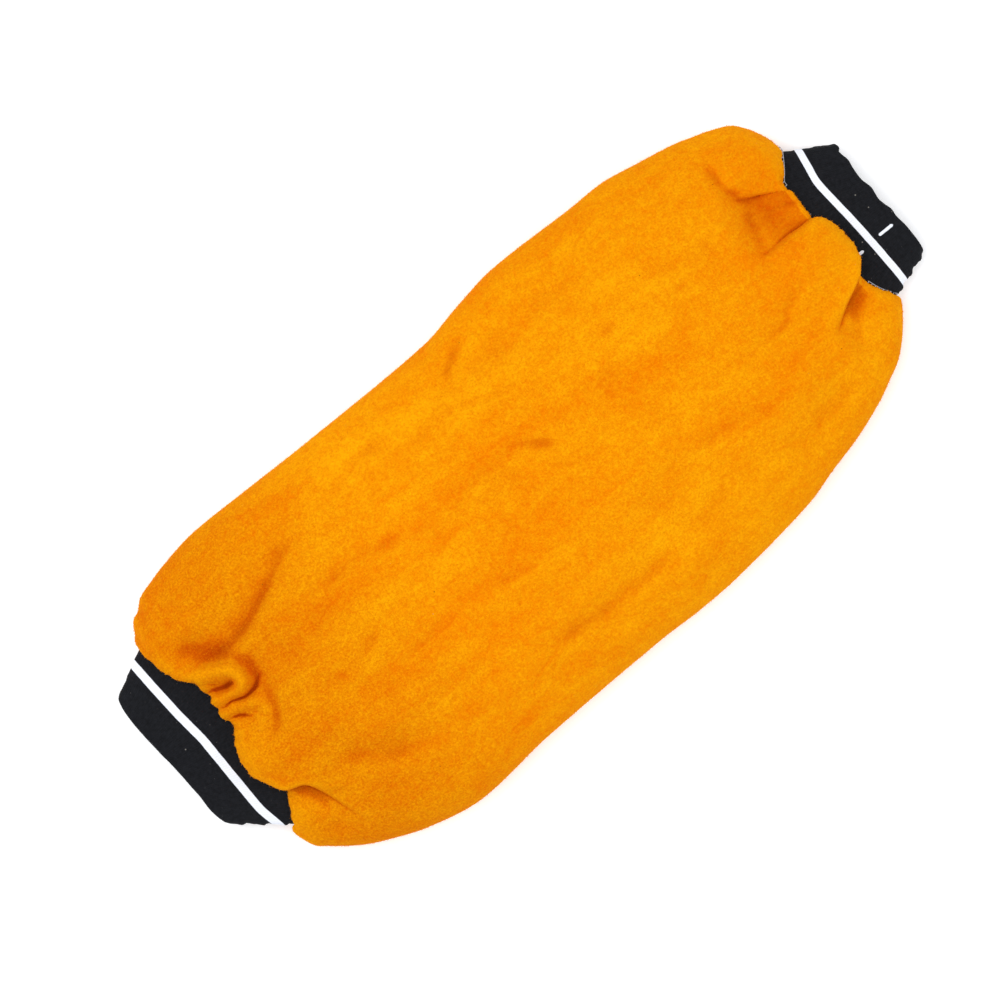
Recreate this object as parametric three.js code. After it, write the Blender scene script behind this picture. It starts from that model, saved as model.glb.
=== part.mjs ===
// A welder's sleeve lying by itself on a table: one tube of split-cowhide suede, gathered at
// both ends into a ring of black elastic. The tube and both cuffs are hollow, so an arm goes
// through from end to end.
// X runs from the upper arm to the wrist, Y across the flat sleeve and Z up. Millimetres.
import * as THREE from "three";

const { clamp, lerp, smoothstep } = THREE.MathUtils;

// The suede tube.
const TUBE_LENGTH = 375.5; // from one cuff's seam to the other's
const TUBE_WIDTH = 197; // the widest reach across, lying
const TUBE_HEIGHT = 50; // from the table to the crown
const SUEDE_THICKNESS = 1.6;
const GATHER_LENGTH = 46; // how far the longest gathers run into the tube
const CREASE_WIDTH = 10;
const CREASE_DEPTH = 10;

// The upper-arm cuff.
const UPPER_CUFF_LENGTH = 41; // from its seam to its free edge
const UPPER_CUFF_SEAM_WIDTH = 136;
const UPPER_CUFF_EDGE_WIDTH = 84;
const UPPER_CUFF_HEIGHT = 16; // over both of its layers
const UPPER_CUFF_SKEW = 4; // how much further its free edge stands out at +Y than at -Y
const UPPER_OVERHANG = 17.5; // the furthest that the suede puffs out over it

// The wrist cuff.
const WRIST_CUFF_LENGTH = 36.5;
const WRIST_CUFF_SEAM_WIDTH = 105;
const WRIST_CUFF_EDGE_WIDTH = 71;
const WRIST_CUFF_HEIGHT = 15;
const WRIST_CUFF_SKEW = -3;
const WRIST_OVERHANG = 13.5;

// Both cuffs and the seams that hold them.
const ELASTIC_THICKNESS = 2.2;
const SEAM_ALLOWANCE = 6; // how far both layers run on inside the seam
const SEAM_LIFT = 8; // from the table to the underside of a cuff at its seam
const EDGE_LIFT = 2.5; // the same at its free edge
const SEAM_GAP = 0.3; // between suede and elastic
const FOLD_GAP = 2; // between the suede's two layers where a valley presses them down

// How square the sections are: 2 is an ellipse, and a larger number is squarer.
const DOME_SQUARENESS = 2.3;
const UNDERSIDE_SQUARENESS = 3.6;
const CUFF_SQUARENESS = 2.6;
const SIDE_HEIGHT_SHARE = 0.4; // where the tube is widest, as a share of its crown
const FLAT_SHARE = 0.05; // how much of the underside's curve the table presses flat

// The mesh.
const DOME_COLUMNS = 38;
const UNDERSIDE_COLUMNS = 22;
const LOOKUP_STEPS = 360;
const CREASE_STEPS = 12;

// The tube's outline from above and its crown, a row for each section. along is a share of
// TUBE_LENGTH from the upper cuff's seam, left and right are the reach to +Y and -Y as shares of
// TUBE_WIDTH, and crown is a share of TUBE_HEIGHT.
const SECTIONS = [
  { along: -0.047, left: 0.305, right: 0.315, crown: 0.6 },
  { along: -0.031, left: 0.358, right: 0.373, crown: 0.68 },
  { along: -0.017, left: 0.371, right: 0.396, crown: 0.73 },
  { along: -0.004, left: 0.393, right: 0.416, crown: 0.77 },
  { along: 0.023, left: 0.409, right: 0.452, crown: 0.82 },
  { along: 0.049, left: 0.421, right: 0.477, crown: 0.86 },
  { along: 0.103, left: 0.437, right: 0.518, crown: 0.92 },
  { along: 0.182, left: 0.437, right: 0.548, crown: 0.97 },
  { along: 0.302, left: 0.434, right: 0.53, crown: 1 },
  { along: 0.502, left: 0.439, right: 0.52, crown: 1 },
  { along: 0.569, left: 0.462, right: 0.523, crown: 1 },
  { along: 0.635, left: 0.48, right: 0.518, crown: 1 },
  { along: 0.768, left: 0.475, right: 0.487, crown: 0.99 },
  { along: 0.822, left: 0.475, right: 0.459, crown: 0.96 },
  { along: 0.875, left: 0.457, right: 0.434, crown: 0.92 },
  { along: 0.928, left: 0.437, right: 0.398, crown: 0.88 },
  { along: 0.955, left: 0.421, right: 0.373, crown: 0.85 },
  { along: 0.981, left: 0.404, right: 0.348, crown: 0.81 },
  { along: 1.008, left: 0.376, right: 0.302, crown: 0.74 },
  { along: 1.035, left: 0.3, right: 0.24, crown: 0.62 },
];

// The gathers round each seam, a row for each puff or valley. across is a share of the cuff's
// half width, from +Y to -Y over the top and back underneath. puff is a share of the cuff's
// overhang, dip a share of the way down to the cuff, and run a share of GATHER_LENGTH.
const UPPER_GATHERS = [
  { side: "top", across: 0.99, puff: 0.94, dip: 0, run: 0.5 },
  { side: "top", across: 0.879, puff: 1.0, dip: 0, run: 0.5 },
  { side: "top", across: 0.697, puff: 0.94, dip: 0.05, run: 0.5 },
  { side: "top", across: 0.561, puff: 0.77, dip: 0.2, run: 0.5 },
  { side: "top", across: 0.439, puff: 0.46, dip: 0.6, run: 0.55 },
  { side: "top", across: 0.341, puff: 0.29, dip: 0.75, run: 0.4 },
  { side: "top", across: 0.242, puff: 0.29, dip: 0.35, run: 0.4 },
  { side: "top", across: 0.152, puff: 0.37, dip: 0.5, run: 0.4 },
  { side: "top", across: 0.076, puff: 0.29, dip: 0.4, run: 0.35 },
  { side: "top", across: 0.015, puff: 0.2, dip: 0.6, run: 0.4 },
  { side: "top", across: -0.076, puff: 0.49, dip: 0.3, run: 0.4 },
  { side: "top", across: -0.197, puff: 0.66, dip: 0.1, run: 0.5 },
  { side: "top", across: -0.379, puff: 0.71, dip: 0.0, run: 0.5 },
  { side: "top", across: -0.5, puff: 0.54, dip: 0.2, run: 0.5 },
  { side: "top", across: -0.606, puff: 0.2, dip: 0.8, run: 0.5 },
  { side: "top", across: -0.727, puff: 0.4, dip: 0.5, run: 0.5 },
  { side: "top", across: -0.879, puff: 0.74, dip: 0.15, run: 0.5 },
  { side: "top", across: -1.0, puff: 0.91, dip: 0, run: 0.5 },
  { side: "under", across: -0.76, puff: 0.4, dip: 0.4, run: 0.6 },
  { side: "under", across: -0.48, puff: 0.6, dip: 0.0, run: 0.6 },
  { side: "under", across: -0.16, puff: 0.3, dip: 0.5, run: 0.8 },
  { side: "under", across: 0.14, puff: 0.6, dip: 0.0, run: 0.6 },
  { side: "under", across: 0.44, puff: 0.3, dip: 0.5, run: 0.8 },
  { side: "under", across: 0.74, puff: 0.7, dip: 0.0, run: 0.6 },
];
const WRIST_GATHERS = [
  { side: "top", across: 0.941, puff: 0.96, dip: 0, run: 0.5 },
  { side: "top", across: 0.843, puff: 0.81, dip: 0.1, run: 0.5 },
  { side: "top", across: 0.745, puff: 0.44, dip: 0.4, run: 0.6 },
  { side: "top", across: 0.608, puff: 0.24, dip: 0.95, run: 0.8 },
  { side: "top", across: 0.431, puff: 0.3, dip: 0.9, run: 0.9 },
  { side: "top", across: 0.196, puff: 0.24, dip: 0.75, run: 0.8 },
  { side: "top", across: 0.078, puff: 0.63, dip: 0.3, run: 0.6 },
  { side: "top", across: -0.137, puff: 0.81, dip: 0.0, run: 0.5 },
  { side: "top", across: -0.333, puff: 0.7, dip: 0.1, run: 0.5 },
  { side: "top", across: -0.451, puff: 0.44, dip: 0.5, run: 0.6 },
  { side: "top", across: -0.569, puff: 0.27, dip: 0.85, run: 0.7 },
  { side: "top", across: -0.745, puff: 0.52, dip: 0.5, run: 0.6 },
  { side: "top", across: -0.882, puff: 0.89, dip: 0.1, run: 0.5 },
  { side: "top", across: -0.98, puff: 1.0, dip: 0, run: 0.5 },
  { side: "under", across: -0.68, puff: 0.45, dip: 0.4, run: 0.7 },
  { side: "under", across: -0.34, puff: 0.7, dip: 0.0, run: 0.6 },
  { side: "under", across: -0.04, puff: 0.35, dip: 0.5, run: 0.9 },
  { side: "under", across: 0.28, puff: 0.7, dip: 0.0, run: 0.6 },
  { side: "under", across: 0.56, puff: 0.35, dip: 0.5, run: 0.8 },
  { side: "under", across: 0.8, puff: 0.75, dip: 0.0, run: 0.6 },
];

// The creases of the upper face, each a curve from one point past a bend to another. along is a
// share of TUBE_LENGTH, across of TUBE_WIDTH, wide of CREASE_WIDTH and deep of CREASE_DEPTH. A
// negative depth is a ridge.
const CREASES = [
  { along: [-0.004, 0.063, 0.161], across: [0.213, 0.173, 0.244], wide: 0.75, deep: 0.5 },
  { along: [0.142, 0.209, 0.342], across: [0.254, 0.305, 0.31], wide: 1.1, deep: 0.16 },
  { along: [-0.017, 0.004, 0.031], across: [0.096, 0.086, 0.076], wide: 0.35, deep: 0.55 },
  { along: [-0.001, 0.023, 0.052], across: [0.046, 0.043, 0.041], wide: 0.4, deep: 0.6 },
  { along: [0.007, 0.033, 0.052], across: [0.117, 0.132, 0.091], wide: 0.35, deep: -0.35 },
  { along: [0.052, 0.06, 0.033], across: [0.091, 0.046, 0.03], wide: 0.35, deep: -0.3 },
  { along: [-0.004, 0.028, 0.055], across: [-0.102, -0.091, -0.066], wide: 0.8, deep: 0.35 },
  { along: [-0.009, 0.007, 0.025], across: [0.005, 0.0, 0.0], wide: 0.3, deep: 0.4 },
  { along: [-0.004, 0.012, 0.012], across: [-0.234, -0.274, -0.365], wide: 0.5, deep: 0.6 },
  { along: [0.007, 0.028, 0.049], across: [-0.218, -0.264, -0.406], wide: 0.6, deep: -0.3 },
  { along: [0.103, 0.177, 0.257], across: [-0.254, -0.325, -0.386], wide: 1.1, deep: 0.22 },
  { along: [0.939, 0.928, 0.949], across: [0.355, 0.254, 0.208], wide: 0.5, deep: 0.45 },
  { along: [0.944, 0.976, 1.011], across: [0.203, 0.193, 0.162], wide: 0.5, deep: 0.55 },
  { along: [0.923, 0.96, 1.005], across: [0.091, 0.152, 0.112], wide: 1.2, deep: 0.45 },
  { along: [1.011, 0.971, 0.939], across: [-0.117, -0.127, -0.213], wide: 0.55, deep: 0.55 },
  { along: [1.019, 0.992, 0.944], across: [-0.152, -0.213, -0.274], wide: 1.0, deep: 0.25 },
  { along: [0.941, 0.888, 0.816], across: [-0.041, -0.076, -0.091], wide: 0.7, deep: 0.16 },
];

// The suede's way round a puff's nose, from the layer on the cuff to the one above. out is a share
// of the nose's reach, and rise a share of the way up.
const NOSE_ROWS = [
  { out: 0.0, rise: 0.0 },
  { out: 0.59, rise: 0.095 },
  { out: 0.95, rise: 0.345 },
  { out: 0.95, rise: 0.655 },
  { out: 0.59, rise: 0.905 },
  { out: 0.0, rise: 1.0 },
];
const NOSE_SHARE = 0.8; // how much of a short puff its nose may take

// Where the tube's rows stand between the puffs, as shares of TUBE_LENGTH.
const BODY_ROWS = [
  0.011, 0.021, 0.032, 0.043, 0.055, 0.071, 0.092, 0.121, 0.169, 0.241, 0.329, 0.427, 0.529,
  0.63, 0.726, 0.8, 0.854, 0.888, 0.909, 0.925, 0.939, 0.951, 0.961, 0.971, 0.98, 0.989,
];

const UPPER_CUFF = {
  seam: -TUBE_LENGTH / 2,
  outward: -1,
  length: UPPER_CUFF_LENGTH,
  seamWidth: UPPER_CUFF_SEAM_WIDTH,
  edgeWidth: UPPER_CUFF_EDGE_WIDTH,
  height: UPPER_CUFF_HEIGHT,
  skew: UPPER_CUFF_SKEW,
  overhang: UPPER_OVERHANG,
  gathers: UPPER_GATHERS,
  seamOffset: -0.012, // how far its middle stands to +Y, as shares of its widths
  edgeOffset: 0.048,
};
const WRIST_CUFF = {
  seam: TUBE_LENGTH / 2,
  outward: 1,
  length: WRIST_CUFF_LENGTH,
  seamWidth: WRIST_CUFF_SEAM_WIDTH,
  edgeWidth: WRIST_CUFF_EDGE_WIDTH,
  height: WRIST_CUFF_HEIGHT,
  skew: WRIST_CUFF_SKEW,
  overhang: WRIST_OVERHANG,
  gathers: WRIST_GATHERS,
  seamOffset: 0.05,
  edgeOffset: 0.007,
};

// A number's power with its sign kept, which makes an ellipse squarer.
const signedPower = (value, power) => Math.sign(value) * Math.abs(value) ** power;

// One column of SECTIONS at a place between its rows, on a smooth curve through them.
function readSections(along, column) {
  const last = SECTIONS.length - 1;
  const at = clamp(along, SECTIONS[0].along, SECTIONS[last].along);
  const next = clamp(
    SECTIONS.findIndex((row) => row.along > at),
    1,
    last,
  );
  const i = SECTIONS[last].along <= at ? last - 1 : next - 1;
  const slope = (a, b) =>
    (SECTIONS[b][column] - SECTIONS[a][column]) / (SECTIONS[b].along - SECTIONS[a].along);
  const span = SECTIONS[i + 1].along - SECTIONS[i].along;
  const t = (at - SECTIONS[i].along) / span;
  const slopeIn = slope(Math.max(i - 1, 0), i + 1) * span;
  const slopeOut = slope(i, Math.min(i + 2, last)) * span;
  return (
    (2 * t ** 3 - 3 * t ** 2 + 1) * SECTIONS[i][column] +
    (t ** 3 - 2 * t ** 2 + t) * slopeIn +
    (3 * t ** 2 - 2 * t ** 3) * SECTIONS[i + 1][column] +
    (t ** 3 - t ** 2) * slopeOut
  );
}

// A lying section's point at an angle: 0 is its +Y fold, a quarter turn its crown.
function sectionPoint(angle, middle, halfWidth, sideHeight, crown) {
  const dome = Math.sin(angle) >= 0;
  const power = 2 / (dome ? DOME_SQUARENESS : UNDERSIDE_SQUARENESS);
  const rise = Math.abs(Math.sin(angle)) ** power;
  return {
    y: middle + halfWidth * signedPower(Math.cos(angle), power),
    z: dome
      ? lerp(sideHeight, crown, rise)
      : sideHeight * Math.max(0, 1 - rise * (1 + FLAT_SHARE)),
  };
}

// The tube's smooth surface, before its gathers.
function tubePoint(x, angle) {
  const along = x / TUBE_LENGTH + 0.5;
  const left = readSections(along, "left") * TUBE_WIDTH;
  const right = readSections(along, "right") * TUBE_WIDTH;
  const crown = readSections(along, "crown") * TUBE_HEIGHT;
  return sectionPoint(
    angle,
    (left - right) / 2,
    (left + right) / 2,
    crown * SIDE_HEIGHT_SHARE,
    crown,
  );
}

// How far a cuff's free edge stands out from its seam, at an angle round it.
const cuffLength = (cuff, angle) => cuff.length + (cuff.skew / 2) * Math.cos(angle);

// A cuff's surface at a place along it, inset into the elastic or, if negative, clear of it.
function cuffPoint(cuff, x, angle, inset) {
  const out = clamp(((x - cuff.seam) * cuff.outward) / cuffLength(cuff, angle), 0, 1);
  const halfWidth = lerp(cuff.seamWidth, cuff.edgeWidth, out) / 2;
  const middle = lerp(
    cuff.seamOffset * cuff.seamWidth,
    cuff.edgeOffset * cuff.edgeWidth,
    out,
  );
  const halfHeight = cuff.height / 2;
  const power = 2 / CUFF_SQUARENESS;
  return {
    y: middle + (halfWidth - inset) * signedPower(Math.cos(angle), power),
    z:
      lerp(SEAM_LIFT, EDGE_LIFT, out) +
      halfHeight +
      (halfHeight - inset) * signedPower(Math.sin(angle), power),
  };
}

// Shares of a turn that stand evenly round the tube's widest section, for the dome's angles
// when dome is true and for the underside's when it isn't.
function arcTable(dome) {
  const table = [{ angle: 0, arc: 0 }];
  let last = null;
  for (let step = 0; step <= LOOKUP_STEPS; step += 1) {
    const angle = (dome ? 1 : -1) * Math.PI * (step / LOOKUP_STEPS);
    const point = sectionPoint(
      angle,
      0,
      TUBE_WIDTH / 2,
      TUBE_HEIGHT * SIDE_HEIGHT_SHARE,
      TUBE_HEIGHT,
    );
    if (last) {
      const arc = table.at(-1).arc + Math.hypot(point.y - last.y, point.z - last.z);
      table.push({ angle, arc });
    }
    last = point;
  }
  return table.map((row) => ({ angle: row.angle, share: row.arc / table.at(-1).arc }));
}
const DOME_ARC = arcTable(true);
const UNDERSIDE_ARC = arcTable(false);

// One column of an arc table against the other.
function lookUp(table, column, value, wanted) {
  const rising = table[1][column] > table[0][column];
  const next = table.findIndex((row) => (rising ? row[column] >= value : row[column] <= value));
  const b = next < 0 ? table.length - 1 : Math.max(next, 1);
  const t = (value - table[b - 1][column]) / (table[b][column] - table[b - 1][column]);
  return lerp(table[b - 1][wanted], table[b][wanted], clamp(t, 0, 1));
}

// The columns of the mesh round the section: where each stands, from 0 at the +Y fold to 1 at
// the -Y fold on the dome, and on to 2 at the +Y fold again underneath.
const COLUMNS = [];
for (let i = 0; i < DOME_COLUMNS; i += 1) {
  const share = i / DOME_COLUMNS;
  COLUMNS.push({ round: share, angle: lookUp(DOME_ARC, "share", share, "angle") });
}
for (let i = 0; i < UNDERSIDE_COLUMNS; i += 1) {
  const share = 1 - i / UNDERSIDE_COLUMNS;
  COLUMNS.push({ round: 2 - share, angle: lookUp(UNDERSIDE_ARC, "share", share, "angle") });
}

// Where a gather stands round the section, in the same measure as a column.
function gatherRound(gather) {
  const bend = Math.acos(signedPower(gather.across, CUFF_SQUARENESS / 2));
  return gather.side === "top"
    ? lookUp(DOME_ARC, "angle", bend, "share")
    : 2 - lookUp(UNDERSIDE_ARC, "angle", -bend, "share");
}

// The puff, dip and run of a cuff's gathers at a place round the section.
function gatherAt(cuff, round) {
  const placed = cuff.gathers.map((gather) => ({ ...gather, round: gatherRound(gather) }));
  const found = placed.findIndex((gather) => gather.round > round);
  const next = found < 0 ? 0 : found;
  const last = (next + placed.length - 1) % placed.length;
  const span = (placed[next].round - placed[last].round + 2) % 2;
  const t = smoothstep(((round - placed[last].round + 2) % 2) / span, 0, 1);
  return {
    puff: lerp(placed[last].puff, placed[next].puff, t) * cuff.overhang,
    dip: lerp(placed[last].dip, placed[next].dip, t),
    run: lerp(placed[last].run, placed[next].run, t) * GATHER_LENGTH,
  };
}

// The tube's surface drawn in towards both cuffs by its gathers.
function gatheredPoint(x, column) {
  const point = tubePoint(x, column.angle);
  for (const cuff of [UPPER_CUFF, WRIST_CUFF]) {
    const gather = column.gathers.get(cuff);
    const inside = (cuff.seam - x) * cuff.outward;
    const drawn = gather.dip * (1 - smoothstep(inside, 0, gather.run));
    const seam = pressedPoint(cuff, x, column.angle);
    point.y = lerp(point.y, seam.y, drawn);
    point.z = lerp(point.z, seam.z, drawn);
  }
  return point;
}

// Where the tube lies when it is pressed down over its own turned-in edge.
const pressedPoint = (cuff, x, angle) =>
  cuffPoint(cuff, x, angle, -SEAM_GAP - 2 * SUEDE_THICKNESS - FOLD_GAP);

// A crease's curve over the plan, as points that stand closely along it.
const CREASE_CURVES = CREASES.map((crease) => {
  const plan = crease.along.map(
    (along, i) =>
      new THREE.Vector2((along - 0.5) * TUBE_LENGTH, crease.across[i] * TUBE_WIDTH),
  );
  const curve = new THREE.QuadraticBezierCurve(...plan);
  return { ...crease, points: curve.getPoints(CREASE_STEPS) };
});

// How far the creases press the upper face down at a place in the plan.
function creaseDepth(x, y) {
  let depth = 0;
  for (const { points, wide, deep } of CREASE_CURVES) {
    let nearest = Infinity;
    let fade = 0;
    points.forEach((point, i) => {
      const distance = Math.hypot(point.x - x, point.y - y);
      if (distance < nearest) {
        nearest = distance;
        fade = Math.sin((Math.PI * (i + 1)) / (CREASE_STEPS + 2)) ** 0.5;
      }
    });
    depth += deep * CREASE_DEPTH * fade * Math.exp(-((nearest / (wide * CREASE_WIDTH)) ** 2));
  }
  return depth;
}

// One point of the suede over a cuff, on its outer face or inset from it: a row out of suedeRows
// and a column round the section.
function puffPoint(row, column, inset) {
  const { cuff } = row;
  const { puff } = column.gathers.get(cuff);
  const tip = layersAt(cuff, puff, column);
  const nose = Math.min(tip.apart / 2, puff * NOSE_SHARE);
  const out = row.hidden ? -SEAM_ALLOWANCE : (puff - nose) * row.run + (nose - inset) * row.out;
  const { x, low, high, apart } = layersAt(cuff, out, column);
  const rise = lerp(inset / apart, 1 - inset / apart, row.rise);
  const between = { y: lerp(low.y, high.y, rise), z: lerp(low.z, high.z, rise) };
  return creased(x, between, column, row.rise);
}

// The suede's layer on a cuff and the layer above it, at a place out over the cuff. They stand at
// least far enough apart for both thicknesses and the gap between them.
function layersAt(cuff, out, column) {
  const x = cuff.seam + cuff.outward * out;
  const low = cuffPoint(cuff, x, column.angle, -SEAM_GAP);
  const high = gatheredPoint(x, column);
  const apart = Math.hypot(high.y - low.y, high.z - low.z);
  const least = 2 * SUEDE_THICKNESS + FOLD_GAP;
  const pushed = Math.max(apart, least) / apart;
  return {
    x,
    low,
    high: { y: lerp(low.y, high.y, pushed), z: lerp(low.z, high.z, pushed) },
    apart: apart * pushed,
  };
}

// A point with the creases pressed into it. Only the dome has creases, and share eases them out.
// None goes lower than the pressed tube, which it nears more slowly the deeper it is.
function creased(x, { y, z }, column, share) {
  const facing = clamp(Math.sin(column.angle) * 2, 0, 1) * share ** 2;
  if (facing === 0) return new THREE.Vector3(x, y, z);
  const cuff = x < 0 ? UPPER_CUFF : WRIST_CUFF;
  const room = gatheredPoint(x, column).z - pressedPoint(cuff, x, column.angle).z;
  const depth = creaseDepth(x, y);
  const pressed = depth > 0 ? room * (1 - Math.exp(-depth / Math.max(room, 0.1))) : depth;
  return new THREE.Vector3(x, y, z - facing * pressed);
}

// The rows of the suede from its hidden edge at the upper cuff to the one at the wrist.
function suedeRows() {
  const puffRows = (cuff) => [
    { cuff, hidden: true, rise: 0 },
    { cuff, run: 0, out: 0, rise: 0 },
    ...NOSE_ROWS.map((row) => ({ cuff, run: 1, ...row })),
    { cuff, run: 0.45, out: 0, rise: 1 },
  ];
  return [
    ...puffRows(UPPER_CUFF),
    ...BODY_ROWS.map((along) => ({ x: (along - 0.5) * TUBE_LENGTH })),
    ...puffRows(WRIST_CUFF).reverse(),
  ];
}

// The unit normal of a grid of points at one of them, from its neighbours.
function gridNormal(grid, i, j) {
  const columns = grid[0].length;
  const down = grid[Math.min(i + 1, grid.length - 1)][j];
  const up = grid[Math.max(i - 1, 0)][j];
  const right = grid[i][(j + 1) % columns];
  const left = grid[i][(j + columns - 1) % columns];
  const alongRow = new THREE.Vector3().subVectors(right, left);
  return new THREE.Vector3().subVectors(down, up).cross(alongRow).negate().normalize();
}

// A wall between two grids of points, each a ring for each row, closed over at both ends.
function wallGeometry(outer, inner) {
  const rows = outer.length;
  const columns = outer[0].length;
  const positions = [...outer.flat(), ...inner.flat()].flatMap((p) => [p.x, p.y, p.z]);
  const at = (face, i, j) => face * rows * columns + i * columns + (j % columns);
  const faces = [];
  const quad = (a, b, c, d) => faces.push(a, b, c, a, c, d);
  for (let j = 0; j < columns; j += 1) {
    for (let i = 0; i < rows - 1; i += 1) {
      quad(at(0, i, j), at(0, i, j + 1), at(0, i + 1, j + 1), at(0, i + 1, j));
      quad(at(1, i, j), at(1, i + 1, j), at(1, i + 1, j + 1), at(1, i, j + 1));
    }
    const end = rows - 1;
    quad(at(0, 0, j), at(1, 0, j), at(1, 0, j + 1), at(0, 0, j + 1));
    quad(at(0, end, j), at(0, end, j + 1), at(1, end, j + 1), at(1, end, j));
  }
  const geometry = new THREE.BufferGeometry();
  geometry.setAttribute("position", new THREE.Float32BufferAttribute(positions, 3));
  geometry.setIndex(faces);
  geometry.computeVertexNormals();
  return geometry;
}

// The suede tube: its outer face, and an inner face one thickness inside it.
function suedeTube() {
  const columns = COLUMNS.map((column) => ({
    ...column,
    gathers: new Map([UPPER_CUFF, WRIST_CUFF].map((cuff) => [cuff, gatherAt(cuff, column.round)])),
  }));
  const rows = suedeRows();
  const outer = rows.map((row) =>
    columns.map((column) =>
      row.cuff
        ? puffPoint(row, column, 0)
        : creased(row.x, gatheredPoint(row.x, column), column, 1),
    ),
  );
  const inner = rows.map((row, i) =>
    columns.map((column, j) =>
      row.cuff
        ? puffPoint(row, column, SUEDE_THICKNESS)
        : outer[i][j].clone().addScaledVector(gridNormal(outer, i, j), -SUEDE_THICKNESS),
    ),
  );
  return wallGeometry(outer, inner);
}

// One elastic cuff, from its tucked-in edge by its seam to its free edge.
function elasticCuff(cuff) {
  const face = (inset) => {
    const rings = [-SEAM_ALLOWANCE, 0, null].map((out) =>
      COLUMNS.map(({ angle }) => {
        const x = cuff.seam + cuff.outward * (out ?? cuffLength(cuff, angle));
        const { y, z } = cuffPoint(cuff, x, angle, inset);
        return new THREE.Vector3(x, y, z);
      }),
    );
    return cuff.outward > 0 ? rings : rings.reverse();
  };
  return wallGeometry(face(0), face(ELASTIC_THICKNESS));
}

const suede = new THREE.MeshStandardMaterial({ color: "#f7940d", roughness: 0.95, metalness: 0 });
const elastic = new THREE.MeshStandardMaterial({ color: "#1f2024", roughness: 0.9, metalness: 0 });

function piece(name, geometry, material) {
  const mesh = new THREE.Mesh(geometry, material);
  mesh.name = name;
  return mesh;
}

const sleeve = new THREE.Group();
sleeve.add(
  piece("suede_tube", suedeTube(), suede),
  piece("upper_arm_cuff", elasticCuff(UPPER_CUFF), elastic),
  piece("wrist_cuff", elasticCuff(WRIST_CUFF), elastic),
);

// The origin is under the middle of the sleeve, on the table.
const box = new THREE.Box3().setFromObject(sleeve, true);
const middle = box.getCenter(new THREE.Vector3());
for (const mesh of sleeve.children) mesh.position.set(-middle.x, -middle.y, -box.min.z);

export default sleeve;
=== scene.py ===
"""Welding sleeve: one suede tube gathered into two black elastic cuffs, lying by itself.

Lengths in the tables are millimetres in the sleeve's own frame: X from the upper arm to the
wrist, Y across the lying sleeve, Z up from the table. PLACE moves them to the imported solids.
"""

import math

import bpy
import numpy as np
from bpy.props import FloatProperty, FloatVectorProperty, PointerProperty
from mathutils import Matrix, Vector


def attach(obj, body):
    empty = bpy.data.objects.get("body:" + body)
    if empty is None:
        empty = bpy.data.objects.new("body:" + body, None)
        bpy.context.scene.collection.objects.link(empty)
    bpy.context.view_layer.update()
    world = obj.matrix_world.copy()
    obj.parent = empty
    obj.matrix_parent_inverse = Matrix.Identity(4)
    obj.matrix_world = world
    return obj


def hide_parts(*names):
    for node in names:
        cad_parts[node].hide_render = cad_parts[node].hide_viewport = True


bl_info = {
    "name": "Welding sleeve",
    "version": (1, 0, 0),
    "blender": (4, 5, 0),
    "location": "3D View > Sidebar > Sleeve",
    "description": "Builds a suede welding sleeve with elastic cuffs around its packed solids",
    "category": "Add Mesh",
}

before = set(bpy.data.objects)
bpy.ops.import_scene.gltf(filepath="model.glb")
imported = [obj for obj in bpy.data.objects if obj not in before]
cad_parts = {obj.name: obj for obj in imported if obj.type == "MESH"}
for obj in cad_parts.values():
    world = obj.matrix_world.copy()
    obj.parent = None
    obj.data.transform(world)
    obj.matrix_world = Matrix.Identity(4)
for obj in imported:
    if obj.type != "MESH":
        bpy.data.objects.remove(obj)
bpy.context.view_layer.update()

MM = 0.001
SEED = 11
PLACE = np.array([2.5, 6.7, 0.0])  # the sleeve's own zero, in the frame of the solids

# The sleeve's form, the same as that of the solids.
TUBE_LENGTH = 375.5
TUBE_WIDTH = 197.0
TUBE_HEIGHT = 50.0
SIDE_HEIGHT_SHARE = 0.4
FLAT_SHARE = 0.05
DOME_POWER = 2 / 2.3
UNDERSIDE_POWER = 2 / 3.6
CUFF_POWER = 2 / 2.6
SEAM_ALLOWANCE = 6.0
SEAM_LIFT = 8.0
EDGE_LIFT = 2.5
SEAM_GAP = 0.3
FOLD_GAP = 2.0
NOSE_SHARE = 0.8
TWO_LAYERS = 3.2  # two thicknesses of suede
EDGE_UNEVENNESS = 0.42  # how far the suede's cut edge strays

# along, left, right and crown of the tube's sections, as shares of its length, width and height.
SECTIONS = np.array([
    (-0.047, 0.305, 0.315, 0.6), (-0.031, 0.358, 0.373, 0.68), (-0.017, 0.371, 0.396, 0.73),
    (-0.004, 0.393, 0.416, 0.77), (0.023, 0.409, 0.452, 0.82), (0.049, 0.421, 0.477, 0.86),
    (0.103, 0.437, 0.518, 0.92), (0.182, 0.437, 0.548, 0.97), (0.302, 0.434, 0.53, 1.0),
    (0.502, 0.439, 0.52, 1.0), (0.569, 0.462, 0.523, 1.0), (0.635, 0.48, 0.518, 1.0),
    (0.768, 0.475, 0.487, 0.99), (0.822, 0.475, 0.459, 0.96), (0.875, 0.457, 0.434, 0.92),
    (0.928, 0.437, 0.398, 0.88), (0.955, 0.421, 0.373, 0.85), (0.981, 0.404, 0.348, 0.81),
    (1.008, 0.376, 0.302, 0.74), (1.035, 0.3, 0.24, 0.62),
])

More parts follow.
